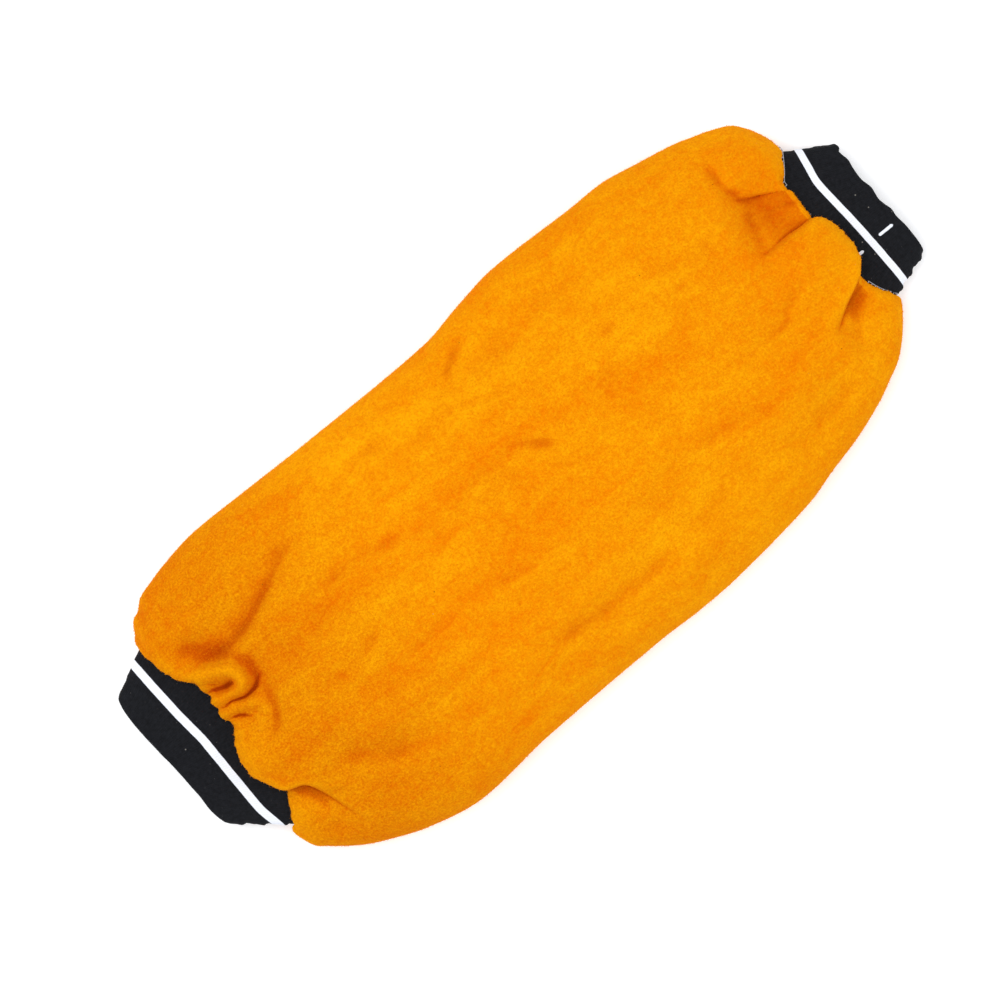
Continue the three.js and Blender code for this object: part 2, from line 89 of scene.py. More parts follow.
# Each cuff. edge: where the suede's edge lies over it, as (y, x). top and under: how far the
# suede is drawn down to the cuff there, as (y at the seam, dip, run into the tube). under_puff:
# how far it puffs out underneath, as (y at the seam, puff). stripe: its middle, as (y, x).
# rim: how much further than straight its free edge stands out, as (y, out). marks: its white
# thread marks, as (from, to, y), the first two measured from the seam.
UPPER = {
    "name": "upper_arm_cuff",
    "seam": -TUBE_LENGTH / 2,
    "outward": -1,
    "length": 41.0,
    "seam_width": 136.0,
    "edge_width": 84.0,
    "height": 16.0,
    "skew": 4.0,
    "seam_middle": -1.6,
    "edge_middle": 4.0,
    "edge": [
        (-69, -203.3), (-64, -203.3), (-59, -200.3), (-54, -197.3), (-48, -194.3), (-41.5, -191.3),
        (-40, -192.3), (-33, -197.3), (-25, -200.8), (-14, -199.3), (-8, -196.3), (-2, -192.0),
        (0, -191.3), (2, -192.3), (6, -194.3), (8, -193.8), (10, -192.5), (14, -193.3),
        (17, -191.5), (20, -192.8), (26, -193.3), (32, -198.3), (40, -202.3), (55, -205.3),
        (64, -205.3),
    ],
    "top": [
        (-70, 0, 20), (-60, 0.12, 22), (-52, 0.4, 24), (-47, 0.6, 24), (-43, 0.55, 20),
        (-39, 0.15, 20), (-30, 0.02, 20), (-20, 0.05, 20), (-10, 0.15, 20), (-3, 0.35, 20),
        (2, 0.5, 20), (8, 0.5, 20), (16, 0.55, 18), (24, 0.4, 18), (31, 0.4, 24), (38, 0.35, 26),
        (46, 0.1, 24), (56, 0, 20), (70, 0, 20),
    ],
    "under": [
        (-70, 0, 20), (-53, 0.4, 28), (-34, 0, 28), (-12, 0.5, 36), (8, 0, 28), (28, 0.5, 36),
        (49, 0, 28), (70, 0, 20),
    ],
    "under_puff": [(-53, 7.0), (-34, 10.5), (-12, 5.3), (8, 10.5), (28, 5.3), (49, 12.2)],
    "stripe": [
        (-60, -206.0), (-56, -206.3), (-40, -208.5), (0, -208.7), (20, -210.5), (50, -212.5),
        (56, -213.0),
    ],
    "rim": [
        (-40, -1.0), (-37, 0.1), (-28.7, 0.8), (-18, 0), (-2.9, -0.1), (12.9, 0.8), (27, 1.1),
        (38, 0.5), (44, -0.6), (46.5, -1.6),
    ],
    "stripe_share": 1.0,
    "marks": [],
}
WRIST = {
    "name": "wrist_cuff",
    "seam": TUBE_LENGTH / 2,
    "outward": 1,
    "length": 36.5,
    "seam_width": 105.0,
    "edge_width": 71.0,
    "height": 15.0,
    "skew": -3.0,
    "seam_middle": 5.25,
    "edge_middle": 0.5,
    "edge": [
        (-43, 200.6), (-40, 198.6), (-36, 195.6), (-32, 193.6), (-27, 192.1), (-21, 191.6),
        (-17, 195.6), (-12, 198.1), (-5, 198.6), (4, 197.6), (10, 194.6), (13, 190.6), (18, 191.1),
        (24, 191.1), (30, 191.6), (33, 190.6), (36, 190.6), (40, 193.6), (44, 196.6), (50, 200.6),
    ],
    "top": [
        (-50, 0, 20), (-42, 0.05, 22), (-37, 0.3, 26), (-31, 0.6, 28), (-25, 0.85, 28),
        (-22.5, 0.5, 26), (-19, 0.1, 22), (-8, 0, 20), (8, 0.05, 22), (11.5, 0.35, 26),
        (14, 0.85, 36), (20, 0.92, 40), (28, 0.97, 40), (34, 0.97, 36), (37.5, 0.6, 32),
        (40, 0.2, 26), (46, 0, 22), (60, 0, 20),
    ],
    "under": [
        (-50, 0, 20), (-30, 0.4, 32), (-13, 0, 28), (3, 0.5, 42), (20, 0, 28), (35, 0.5, 36),
        (47, 0, 28), (60, 0, 20),
    ],
    "under_puff": [(-30, 6.0), (-13, 9.5), (3, 4.7), (20, 9.5), (35, 4.7), (47, 10.1)],
    "stripe": [
        (-45, 208.2), (-39, 208.1), (-25, 207.6), (0, 206.4), (10, 205.6), (26, 204.6),
        (35, 206.1), (50, 209.0),
    ],
    "rim": [
        (-35.5, -1.0), (-33, -0.1), (-27, 0.5), (-20, 0.8), (-12, 0.3), (-8, 0.7), (-3, -0.3),
        (0.6, -0.9), (7.4, 0.1), (14, -1.0), (21, -0.4), (26.6, 0.7), (30, 0.2), (32.5, 0.1),
        (34.5, 1.8), (36, 1.6),
    ],
    "stripe_share": 0.87,
    "marks": [(25.0, 32.5, -13.8), (8.0, 12.6, -15.0)],
}
CUFFS = (UPPER, WRIST)
MARK_HALF_WIDTH = 0.75
OFF_PATTERN = 9.0  # the distance to a stripe or mark given to places that have none near

# Where the gathers leave the wrist cuff's seam bare: the lowest and highest y of each stretch.
BARE_SEAMS = ((34.5, 51.5), (-42.5, -28.5))
PAINTED_SHADE_INSIDE = 0.4  # how much shade the suede's material paints over the inside of the tube

# The stage, in metres. Each softbox: name, place, size and share of the key light's power. The
# floor is a square under the sleeve, and the camera looks straight down at VIEW_MIDDLE.
SOFTBOXES = (
    ("key_softbox", (-0.5, 0.35, 1.8), 1.2, 1.0),
    ("fill_softbox", (1.05, -0.7, 1.4), 1.2, 0.6),
    ("low_softbox", (-0.75, 1.15, 0.9), 0.9, 0.2),
)
SQUARE = ((-1, -1), (1, -1), (1, 1), (-1, 1))
FLOOR_HALF, FLOOR_DROP = 4, -0.0003
SENSOR = 36.0  # the camera's sensor width in mm
VIEW_MIDDLE = (-0.01577, 0.00914)
VIEW_TURN = math.atan2(-0.62872, 0.77763)
OUTLINE_HEIGHT = 0.017  # how high the sleeve's widest outline lies, which sets the view's scale

# The folds pressed into the upper face: kind, width on the left of its way, width on the right,
# depth, and its way as (x, y, strength). A valley and a ridge are round. A streak is a shallow
# valley with a stronger line of painted shade along it. A crease is the narrow gap between two
# rolls. A lip is a layer lying over its neighbour, its high side on the left. Each fold also
# paints shade on its low places, and a ridge a painted highlight on its crown.
FOLDS = [
    # Upper-arm end: the rolled ear, doubled back round its slit, and the lobe below it.
    ("ridge", 5.2, 4.4, 4.2, [
        (-200, 34, 0.1), (-190, 29, 0.7), (-181, 25, 1), (-176, 21, 1), (-174, 15.5, 1),
        (-175.5, 11.5, 1), (-179, 10.3, 0.9), (-183, 11, 0.8), (-188, 13.5, 0.6),
        (-193, 15.5, 0.3),
    ]),
    ("crease", 4.5, 4.5, 9.0, [
        (-197, 20.6, 1), (-191, 18.9, 1), (-189, 18.7, 1), (-186, 17.4, 1), (-182, 15.9, 1),
        (-178.8, 15.6, 0.7),
    ]),
    ("valley", 1.6, 1.6, 1.4, [(-181, 16, 1), (-178.5, 16.2, 1)]),
    ("crease", 2.0, 2.0, 1.8, [
        (-194.5, 25.5, 0.6), (-191.6, 24.3, 1), (-188, 21.9, 1), (-185.4, 19.9, 0.6),
    ]),
    ("crease", 5.0, 4.0, 7.5, [
        (-194, 9.4, 0.6), (-189, 8.4, 0.5), (-185, 8.5, 0.6), (-181.5, 7.4, 0.9), (-178.5, 6.3, 1),
        (-176, 6, 1), (-173, 6.3, 1), (-170, 7, 0.8), (-166.5, 9.5, 0.3),
    ]),
    ("valley", 5.4, 5.4, 3.8, [
        (-191, 46, 0.2), (-185.2, 40.5, 0.9), (-177.5, 33.5, 1), (-170, 26.5, 1),
        (-165.8, 19.5, 1), (-165.4, 12.5, 1), (-168, 7.5, 0.8),
    ]),
    ("ridge", 3.8, 3.8, 2.8, [
        (-187, 4.5, 0.4), (-178.4, 2.6, 1), (-173.9, -0.8, 1), (-173.9, -5.5, 1),
        (-178.4, -9.5, 0.6), (-184, -10.5, 0.2),
    ]),
    ("crease", 3.0, 3.0, 4.2, [
        (-194, 3, 0.7), (-190.3, 2, 1), (-186.6, 1, 1), (-184, -0.5, 0.9), (-181.5, -2.8, 0.3),
    ]),
    ("valley", 5.0, 8.0, 3.0, [
        (-165.5, 8, 0.3), (-168.5, -3, 1), (-172.6, -12, 1), (-178.7, -17, 0.8),
        (-186.7, -17, 0.4), (-194, -15, 0),
    ]),
    # The big lobe over the lower layer, and the ridge that runs on from it.
    ("lip", 6.0, 6.0, 7.6, [
        (-204, -34.5, 0.3), (-195, -39.8, 0.9), (-190, -42.2, 1), (-186, -43.6, 1),
        (-181.5, -45.5, 0.95), (-178.4, -50.5, 0.7), (-175.5, -58, 0.42), (-172.5, -67, 0.22),
        (-169, -78, 0.1), (-167, -86, 0),
    ]),
    ("ridge", 12.0, 12.0, 2.6, [
        (-200, -24, 0.3), (-190, -25, 1), (-180, -31, 0.6), (-172, -40, 0.3),
    ]),
    ("valley", 3.4, 3.4, 2.6, [
        (-197, -46, 0.4), (-190, -46.5, 1), (-184, -49.5, 1), (-181, -56, 0.8), (-179, -66, 0),
    ]),
    ("valley", 6.0, 6.0, 2.0, [(-193, -66, 0.3), (-185, -72, 1), (-178, -80, 0.3)]),
    # The upper lobe's shaded flank above the body, and other long folds near the upper arm.
    ("valley", 10.5, 5.0, 4.6, [
        (-186, 38, 0.2), (-175, 33.5, 0.9), (-162, 33.2, 1), (-149, 36.8, 0.75), (-135, 43, 0.55),
        (-125, 47.6, 0.4), (-110, 54, 0.2), (-98, 60, 0),
    ]),
    ("valley", 7.0, 3.6, 1.3, [
        (-178, 33, 0), (-170, 31.2, 0.8), (-160, 32, 1), (-148, 35.6, 0.7), (-134, 41.6, 0.5),
        (-124, 46.6, 0.3), (-110, 53.5, 0),
    ]),
    ("ridge", 9.0, 9.0, 1.8, [
        (-192, 56, 0.6), (-176, 54, 1), (-158, 55, 1), (-140, 62, 0.5), (-126, 68, 0),
    ]),
    ("valley", 6.0, 6.0, 1.2, [(-200, 50, 0.6), (-192, 52, 0.6), (-184, 60, 0.5), (-180, 70, 0)]),
    ("valley", 7.0, 7.0, 2.4, [
        (-162, -44, 0), (-152, -52, 1), (-140, -60, 1), (-128, -64, 0.7), (-112, -66, 0),
    ]),
    ("valley", 1.8, 1.8, 1.0, [(-168, 82, 0), (-150, 83, 1), (-130, 82.5, 1), (-112, 82, 0)]),
    ("ridge", 9.0, 9.0, 1.6, [(-165, -30, 0), (-150, -36, 1), (-128, -46, 1), (-100, -50, 0)]),
    ("valley", 8.0, 8.0, 1.6, [(-160, 12, 0), (-146, 8, 1), (-128, 10, 1), (-108, 14, 0)]),
    # Wrist end: the upper lobe over the deep valley.
    ("lip", 6.5, 6.0, 7.5, [
        (160, 48, 0), (167, 44.8, 0.12), (172, 42.6, 0.4), (177.1, 40.6, 0.8), (183.5, 37.3, 1),
        (191.2, 32.8, 1), (197, 29.5, 0.7),
    ]),
    ("valley", 4.2, 4.2, 3.6, [
        (179, 38, 0.2), (172, 41.4, 0.8), (167.4, 46.5, 1), (165, 53, 0.8), (164.6, 60, 0.6),
        (165.5, 69, 0.3), (167, 77, 0),
    ]),
    ("crease", 3.0, 3.0, 4.0, [
        (197, 21.6, 0.8), (191.6, 23.6, 1), (187, 26.4, 0.8), (181, 28.6, 0.3), (174, 31, 0),
    ]),
    ("valley", 10.5, 10.5, 4.8, [
        (197, 24, 0.9), (186, 26, 1), (175, 29, 1), (167, 30, 0.55), (159, 28, 0.2), (148, 24, 0),
    ]),
    ("valley", 5.0, 5.0, 1.9, [
        (170, 42, 0.3), (166, 34, 1), (163.6, 25, 1), (160, 16, 1), (156.5, 9, 0.5), (152, 2, 0),
    ]),
    ("lip", 6.5, 6.0, 6.5, [
        (197, 12, 0.6), (190, 12.8, 1), (181.8, 13, 0.85), (175, 14, 0.5), (168, 13.8, 0.22),
        (162, 12.8, 0.08), (152, 10, 0),
    ]),
    ("ridge", 11.0, 11.0, 3.0, [(198, -4, 0.4), (186, -4, 1), (174, -6, 0.8), (160, -4, 0.2)]),
    # The middle lobe over the lower valley.
    ("lip", 6.0, 5.0, 7.5, [
        (160, -40, 0), (167, -35.5, 0.2), (173, -31.2, 0.7), (178.4, -27.9, 1), (185.5, -24.7, 1),
        (191.2, -21.6, 1), (197, -17.3, 0.7),
    ]),
    ("valley", 4.5, 4.5, 3.2, [
        (193, -28, 0.4), (185, -31, 1), (178, -36, 1), (172, -45, 0.5), (168, -54, 0),
    ]),
    ("valley", 5.0, 5.0, 1.2, [(164, -30, 0), (166.5, -38, 1), (169, -48, 0.6), (172, -58, 0)]),
    ("valley", 3.4, 3.4, 1.4, [
        (169, -6, 0), (164, -9, 0.8), (151, -14, 1), (144, -18.5, 1), (121, -19, 0.6),
        (100, -16, 0),
    ]),
    ("valley", 8.0, 8.0, 1.8, [(151, 40, 0), (139, 36, 1), (121, 38, 0.8), (100, 44, 0)]),
    ("valley", 8.0, 8.0, 1.9, [(161, -56, 0), (149, -62, 1), (131, -66, 1), (106, -70, 0)]),
    # The body's long shallow waves, and old creases across it.
    ("valley", 9.0, 9.0, 1.2, [(-90, 20, 0), (-50, 12, 1), (0, 10, 1), (50, 18, 0.8), (95, 14, 0)]),
    ("ridge", 10.0, 10.0, 1.2, [(-70, -30, 0), (-20, -36, 1), (40, -30, 1), (90, -36, 0)]),
    ("valley", 8.0, 8.0, 1.2, [(-60, -66, 0), (-10, -72, 1), (50, -68, 1), (90, -60, 0)]),
    ("valley", 8.0, 8.0, 1.1, [(-40, 58, 0), (10, 62, 1), (60, 66, 1), (110, 62, 0)]),
    ("streak", 5.3, 3.6, 0.7, [
        (-104, -26, 0), (-92, -28, 1), (-55, -27.6, 1), (-28, -33, 1), (-9, -37, 0.6), (6, -42, 0),
    ]),
    ("streak", 4.4, 5.2, 0.35, [
        (8, 3, 0), (15.3, -1.1, 1), (28.5, -8.6, 1), (43.9, -13.5, 0.8), (60, -16, 0),
    ]),
    ("streak", 5.3, 4.4, 0.8, [
        (-92, 52, 0), (-78.6, 57.7, 1), (-62.5, 61.8, 1), (-50.8, 63, 1), (-37, 63.8, 0.6),
        (-22, 64, 0),
    ]),
    ("streak", 3.6, 3.6, 0.7, [
        (-6, 65, 0), (0.8, 68.5, 1), (6.9, 72.1, 1), (17, 79, 0.6), (24, 85, 0),
    ]),
    ("streak", 4.8, 4.8, 0.45, [
        (-44, -70, 0), (-30.6, -71.2, 1), (-11.6, -71.5, 1), (13.4, -72.4, 0.8), (30, -74, 0),
    ]),
    ("streak", 4.4, 4.4, 0.7, [
        (-120, 23, 0), (-107.7, 24.4, 1), (-90.5, 24.4, 1), (-65, 18.8, 0.7), (-50, 15, 0),
    ]),
    ("streak", 3.6, 5.3, 0.6, [
        (-46, 51, 0), (-33, 53, 1), (-15.4, 53.7, 1), (0.4, 49.5, 1), (14, 45, 0.6), (28, 42, 0),
    ]),
    ("streak", 4.4, 3.6, 0.6, [
        (24, 6, 0), (16.4, 10.9, 1), (5, 17.9, 1), (-8, 17.7, 1), (-29.6, 20.2, 0.6), (-44, 22, 0),
    ]),
    ("streak", 4.4, 4.4, 0.7, [
        (62, 38, 0), (78, 34, 1), (98, 33, 1), (118, 27, 0.6), (132, 24, 0),
    ]),
    ("streak", 3.6, 4.4, 0.6, [
        (70, -44, 0), (84, -40, 1), (104, -42, 1), (122, -47, 0.5), (136, -50, 0),
    ]),
    ("streak", 4.4, 3.6, 0.7, [
        (-150, -12, 0), (-136, -16, 1), (-118, -14, 1), (-100, -8, 0.5), (-88, -5, 0),
    ]),
]


# ---------------------------------------------------------------- settings


def linear(text):
    """An sRGB hex colour as linear red, green, blue and alpha."""
    parts = [int(text[i : i + 2], 16) / 255 for i in (1, 3, 5)]
    return (*[c / 12.92 if c <= 0.04045 else ((c + 0.055) / 1.055) ** 2.4 for c in parts], 1.0)


def number(name, text, value, **rest):
    return FloatProperty(name=name, description=text, default=value, min=0, **rest)


def length(name, text, millimetres):
    return number(name, text, millimetres * MM, unit="LENGTH", precision=5)


def colour(name, text, value):
    rest = {"size": 4, "min": 0, "max": 1, "subtype": "COLOR"}
    return FloatVectorProperty(name=name, description=text, default=linear(value), **rest)


class SuedeSettings(bpy.types.PropertyGroup):
    """Sizes and colours of the suede tube and its nap."""

    thickness: length("Thickness", "Thickness of the split cowhide", 1.6)
    fold_height: number("Fold height", "The folds' height as a share of the real one", 1.0, max=2)
    base: colour("Nap", "Colour of the nap in even light", "#ea8e02")
    # This colour is also the painted highlight on crowns.
    bright: colour("Brushed nap", "Colour where the nap is brushed up", "#f2a204")
    drawn: colour("Drawn nap", "Colour in the streaks, where the nap is drawn flat", "#e87900")
    # The next two colours are painted shade: the first tints shallow folds, the second the hollows.
    shaded: colour("Shaded nap", "Tint of shallow folds, where fibres shade each other", "#f2cdac")
    deep: colour("Deep nap", "Tint of the hollows, where the nap lies close", "#cca48c")
    # This colour makes the nap darker towards the upper-arm end.
    upper_end: colour("Worn nap", "Tint of the upper-arm end, which is handled most", "#f0e4d6")
    fibre_length: length("Fibre length", "Length of the longest nap fibres", 1.3)
    fibre_width: length("Fibre width", "Width of a fibre's root", 0.16)
    fibre_density: number("Fibre density", "Fibres on a square metre of suede", 330000)


class ElasticSettings(bpy.types.PropertyGroup):
    """Sizes and colours of the elastic cuffs."""

    thickness: length("Thickness", "Thickness of the knitted elastic", 2.2)
    stripe_width: length("Stripe width", "Width of the woven stripe, less at the wrist", 4.25)
    rib_pitch: length("Rib pitch", "Distance between the ribs of the knit", 1.3)
    black: colour("Black yarn", "Colour of the elastic", "#151619")
    white: colour("White yarn", "Colour of the stripe", "#f4f7fc")


class StitchSettings(bpy.types.PropertyGroup):
    """Sizes and colour of the overlock thread."""

    pitch: length("Pitch", "Distance between two overlock stitches", 2.1)
    thread: length("Thread", "Diameter of the thread", 0.4)
    shade: colour("Thread colour", "Colour of the overlock thread", "#d9dbe0")


class StageSettings(bpy.types.PropertyGroup):
    """The floor, lights and camera."""

    floor: colour("Floor", "Colour of the floor", "#f7f7f6")
    field: length("Field", "Width that the camera sees at the sleeve's widest outline", 500)
    distance: length("Distance", "Distance from the camera to the sleeve", 2000)
    key_power: number("Key light", "Power of the key light", 16.5, unit="POWER")


# ---------------------------------------------------------------- the form in numbers


def smoothstep(value, low, high):
    t = np.clip((value - low) / (high - low), 0, 1)
    return t * t * (3 - 2 * t)


def lerp(a, b, t):
    return a + (b - a) * t


def signed_power(value, power):
    return np.sign(value) * np.abs(value) ** power


def hermite(knots, values, slopes, at):
    """A smooth curve through knots, with a slope at each."""
    i = np.clip(np.searchsorted(knots, at, side="right") - 1, 0, len(knots) - 2)
    span = knots[i + 1] - knots[i]
    t = np.clip((at - knots[i]) / span, 0, 1)
    return (
        (2 * t**3 - 3 * t**2 + 1) * values[i]
        + (t**3 - 2 * t**2 + t) * slopes[i] * span
        + (3 * t**2 - 2 * t**3) * values[i + 1]
        + (t**3 - t**2) * slopes[i + 1] * span
    )


def table(rows, value, column=1):
    """A table's column at a value of its first column, on a curve that never overshoots."""
    rows = np.array(sorted(rows), float)
    knots, values = rows[:, 0], rows[:, column]
    steps = np.diff(values) / np.diff(knots)
    before, after = steps[:-1], steps[1:]
    even = before * after > 0
    middle = np.where(even, 2 * before * after / np.where(even, before + after, 1), 0)
    return hermite(knots, values, np.concatenate([steps[:1], middle, steps[-1:]]), value)


def section_column(along, column):
    """A column of SECTIONS on a smooth curve through its rows."""
    knots, values = SECTIONS[:, 0], SECTIONS[:, column]
    ends = np.arange(len(knots))
    before, after = np.maximum(ends - 1, 0), np.minimum(ends + 1, len(knots) - 1)
    slopes = (values[after] - values[before]) / (knots[after] - knots[before])
    return hermite(knots, values, slopes, along)


def section_point(angle, middle, half_width, side_height, crown):
    """(y, z) of a lying section at an angle: 0 is its +Y fold, a quarter turn its crown."""
    dome = np.sin(angle) >= 0
    power = np.where(dome, DOME_POWER, UNDERSIDE_POWER)
    rise = np.abs(np.sin(angle)) ** power
    y = middle + half_width * signed_power(np.cos(angle), power)
    under = side_height * np.maximum(0, 1 - rise * (1 + FLAT_SHARE))
    return y, np.where(dome, lerp(side_height, crown, rise), under)


def tube_point(x, angle):
    """(y, z) of the tube's smooth surface, before its gathers."""
    along = x / TUBE_LENGTH + 0.5
    left, right = section_column(along, 1) * TUBE_WIDTH, section_column(along, 2) * TUBE_WIDTH
    crown = section_column(along, 3) * TUBE_HEIGHT
    side = crown * SIDE_HEIGHT_SHARE
    return section_point(angle, (left - right) / 2, (left + right) / 2, side, crown)


def cuff_length(cuff, angle):
    return cuff["length"] + cuff["skew"] / 2 * np.cos(angle)


def cuff_point(cuff, x, angle, inset):
    """(y, z) of a cuff's surface, inset into the elastic or, if negative, clear of it."""
    out = np.clip((x - cuff["seam"]) * cuff["outward"] / cuff_length(cuff, angle), 0, 1)
    half_width = lerp(cuff["seam_width"], cuff["edge_width"], out) / 2
    half_height = cuff["height"] / 2
    y = lerp(cuff["seam_middle"], cuff["edge_middle"], out)
    z = lerp(SEAM_LIFT, EDGE_LIFT, out) + half_height
    return (
        y + (half_width - inset) * signed_power(np.cos(angle), CUFF_POWER),
        z + (half_height - inset) * signed_power(np.sin(angle), CUFF_POWER),
    )


def even_angles(sign, shares):
    """The angles at shares of the widest section's dome or underside, measured along it."""
    angle = sign * np.pi * np.linspace(0, 1, 2001)
    y, z = section_point(angle, 0, TUBE_WIDTH / 2, TUBE_HEIGHT * SIDE_HEIGHT_SHARE, TUBE_HEIGHT)
    arc = np.concatenate([[0], np.cumsum(np.hypot(np.diff(y), np.diff(z)))])
    return np.interp(shares, arc / arc[-1], angle)


DOME_COLUMNS, UNDERSIDE_COLUMNS = 240, 60
# The columns stand closer together over the middle of the dome, where the folds are.
DOME_SHARES = np.arange(DOME_COLUMNS) / DOME_COLUMNS
DOME_SHARES = DOME_SHARES + 0.35 * np.sin(2 * np.pi * DOME_SHARES) / (2 * np.pi)
UNDERSIDE_SHARES = 1 - np.arange(UNDERSIDE_COLUMNS) / UNDERSIDE_COLUMNS
ANGLES = np.concatenate([even_angles(1, DOME_SHARES), even_angles(-1, UNDERSIDE_SHARES)])
TOP = np.arange(len(ANGLES)) < DOME_COLUMNS


def pressed_point(cuff, x, angle):
    """Where the tube lies when it is pressed down over its own turned-in edge."""
    return cuff_point(cuff, x, angle, -SEAM_GAP - TWO_LAYERS - FOLD_GAP)


def gathers(cuff):
    """The dip and run of the gathers at each column."""
    at_seam, _ = cuff_point(cuff, cuff["seam"], ANGLES, 0)
    found = []
    for column in (1, 2):
        over, under = table(cuff["top"], at_seam, column), table(cuff["under"], at_seam, column)
        row = np.where(TOP, over, under)
        found.append((np.roll(row, 1) + 2 * row + np.roll(row, -1)) / 4)
    return found


GATHERS = {cuff["name"]: gathers(cuff) for cuff in CUFFS}


def gathered_point(x, angle, columns):
    """The tube's surface drawn in towards both cuffs by its gathers."""
    y, z = tube_point(x, angle)
    for cuff in CUFFS:
        dip, run = (values[columns] for values in GATHERS[cuff["name"]])
        drawn = dip * (1 - smoothstep((cuff["seam"] - x) * cuff["outward"], 0, run))
        seam_y, seam_z = pressed_point(cuff, x, angle)
        y, z = lerp(y, seam_y, drawn), lerp(z, seam_z, drawn)
    return y, z


def layers_at(cuff, out, angle, columns):
    """The suede's layer on a cuff and the layer above it, far enough apart for both."""
    x = cuff["seam"] + cuff["outward"] * out
    low = cuff_point(cuff, x, angle, -SEAM_GAP)
    high = gathered_point(x, angle, columns)
    apart = np.hypot(high[0] - low[0], high[1] - low[1])
    pushed = np.maximum(apart, TWO_LAYERS + FOLD_GAP) / apart
    return x, low, (lerp(low[0], high[0], pushed), lerp(low[1], high[1], pushed)), apart * pushed


def puffs(cuff):
    """How far the suede puffs out over the cuff at each column, so that its edge lies on the
    cuff's table of edge places. The cut edge is a little uneven."""
    columns = np.arange(len(ANGLES))
    at_seam, _ = cuff_point(cuff, cuff["seam"], ANGLES, 0)
    rows = sorted(cuff["edge"])
    ends = [abs(rows[0][1] - cuff["seam"]), abs(rows[-1][1] - cuff["seam"])]
    half = cuff["seam_width"] / 2
    low_end, high_end = cuff["seam_middle"] - half, cuff["seam_middle"] + half
    under = table([(low_end, ends[0]), *cuff["under_puff"], (high_end, ends[1])], at_seam)
    # The edge's place depends on the height of its layer, so the puff is found in steps.
    puff = np.where(TOP, 10.0, under)
    for _ in range(12):
        _, low, high, _ = layers_at(cuff, puff, ANGLES, columns)
        wanted = np.abs(table(rows, (low[0] + high[0]) / 2) - cuff["seam"])
        puff = np.where(TOP, lerp(puff, wanted, 0.5), under)
    rng = np.random.default_rng(SEED)
    uneven = np.convolve(np.tile(rng.normal(0, 1, len(ANGLES)), 3), np.ones(4) / 4, "same")
    return puff + EDGE_UNEVENNESS * uneven[len(ANGLES) : 2 * len(ANGLES)] * TOP


def smooth_way(points, step=1.5):
    """A fold's way as closely spaced places on a smooth curve through its points."""
    points = np.array(points, float)
    padded = np.vstack([2 * points[0] - points[1], points, 2 * points[-1] - points[-2]])
    way = []
    for a, b, c, d in zip(padded, padded[1:], padded[2:], padded[3:]):
        count = max(2, int(np.hypot(*(c - b)[:2]) / step))
        t = (np.arange(count) / count)[:, None]
        bend, twist = 2 * a - 5 * b + 4 * c - d, 3 * b - a - 3 * c + d
        way.append(0.5 * (2 * b + (c - a) * t + bend * t**2 + twist * t**3))
    return np.vstack([*way, points[-1:]])


def relief(x, y):
    """How far the folds move places in the plan, (sideways x, sideways y, up) in mm, and how
    much shade they paint on the nap, from 0 to 1, below 0 where a ridge paints a highlight."""
    moved, painted_fold_shade = np.zeros((len(x), 3)), np.zeros(len(x))
    for kind, left_wide, right_wide, deep, points in FOLDS:
        way = smooth_way(points)
        reach = 3.2 * max(left_wide, right_wide) + 2
        near = np.flatnonzero(
            (x > way[:, 0].min() - reach) & (x < way[:, 0].max() + reach)
            & (y > way[:, 1].min() - reach) & (y < way[:, 1].max() + reach)
        )
        place = np.stack([x[near], y[near]], 1)
        best = np.full(len(near), np.inf)
        side, strength = np.zeros(len(near)), np.zeros(len(near))
        normal = np.zeros((len(near), 2))
        for a, b in zip(way, way[1:]):
            along = b[:2] - a[:2]
            t = np.clip((place - a[:2]) @ along / (along @ along), 0, 1)
            gap = place - (a[:2] + t[:, None] * along)
            distance = np.hypot(gap[:, 0], gap[:, 1])
            nearer = distance < best
            best = np.where(nearer, distance, best)
            left = np.array([-along[1], along[0]]) / np.hypot(*along)
            side = np.where(nearer, np.sign(gap @ left), side)
            strength = np.where(nearer, lerp(a[2], b[2], t), strength)
            normal[nearer] = left
        strength = deep * np.clip(strength, 0, 1)
        signed = best * side
        wide = np.where(signed > 0, left_wide, right_wide)
        if kind == "lip":
            # It stands up by 0.3 of its depth, and its neighbour lies 0.7 of it below. Its edge
            # leans out over the neighbour by up to a fifth of the depth.
            high = 0.3 * np.exp(-((signed / wide) ** 2))
            low = -0.7 * np.exp(-best / (0.9 * wide))
            moved[near, 2] += strength * lerp(low, high, smoothstep(signed, -1.2, 1.0))
            lean = 0.2 * strength * np.exp(-(((signed - 1.2) / 2.6) ** 2)) * (signed > -0.8)
            moved[near, :2] -= lean[:, None] * normal
            # Painted shadow on the neighbour, under the lip's edge.
            shade = 0.048 * strength * np.exp(-best / wide) * smoothstep(signed, 1.2, -0.6)
        elif kind == "crease":
            # Two rolls that meet: each is a quarter circle, a little open where they touch.
            close = np.clip(1 - (np.hypot(best, 0.5) - 0.5) / wide, 0, 1)
            moved[near, 2] -= strength * (1 - np.sqrt(1 - close**2))
            # Painted shade in the gap between the rolls.
            shade = 0.07 * strength * np.exp(-((best / 1.1) ** 2))
        else:
            bulge = (1 if kind == "ridge" else -1) * strength * np.exp(-((best / wide) ** 2))
            moved[near, 2] += bulge
            # Painted shade in a valley, stronger along a streak, and a painted highlight on a
            # ridge.
            shade = (-0.14 if kind == "streak" else -0.055) * bulge
        painted_fold_shade[near] += shade
    return moved, painted_fold_shade


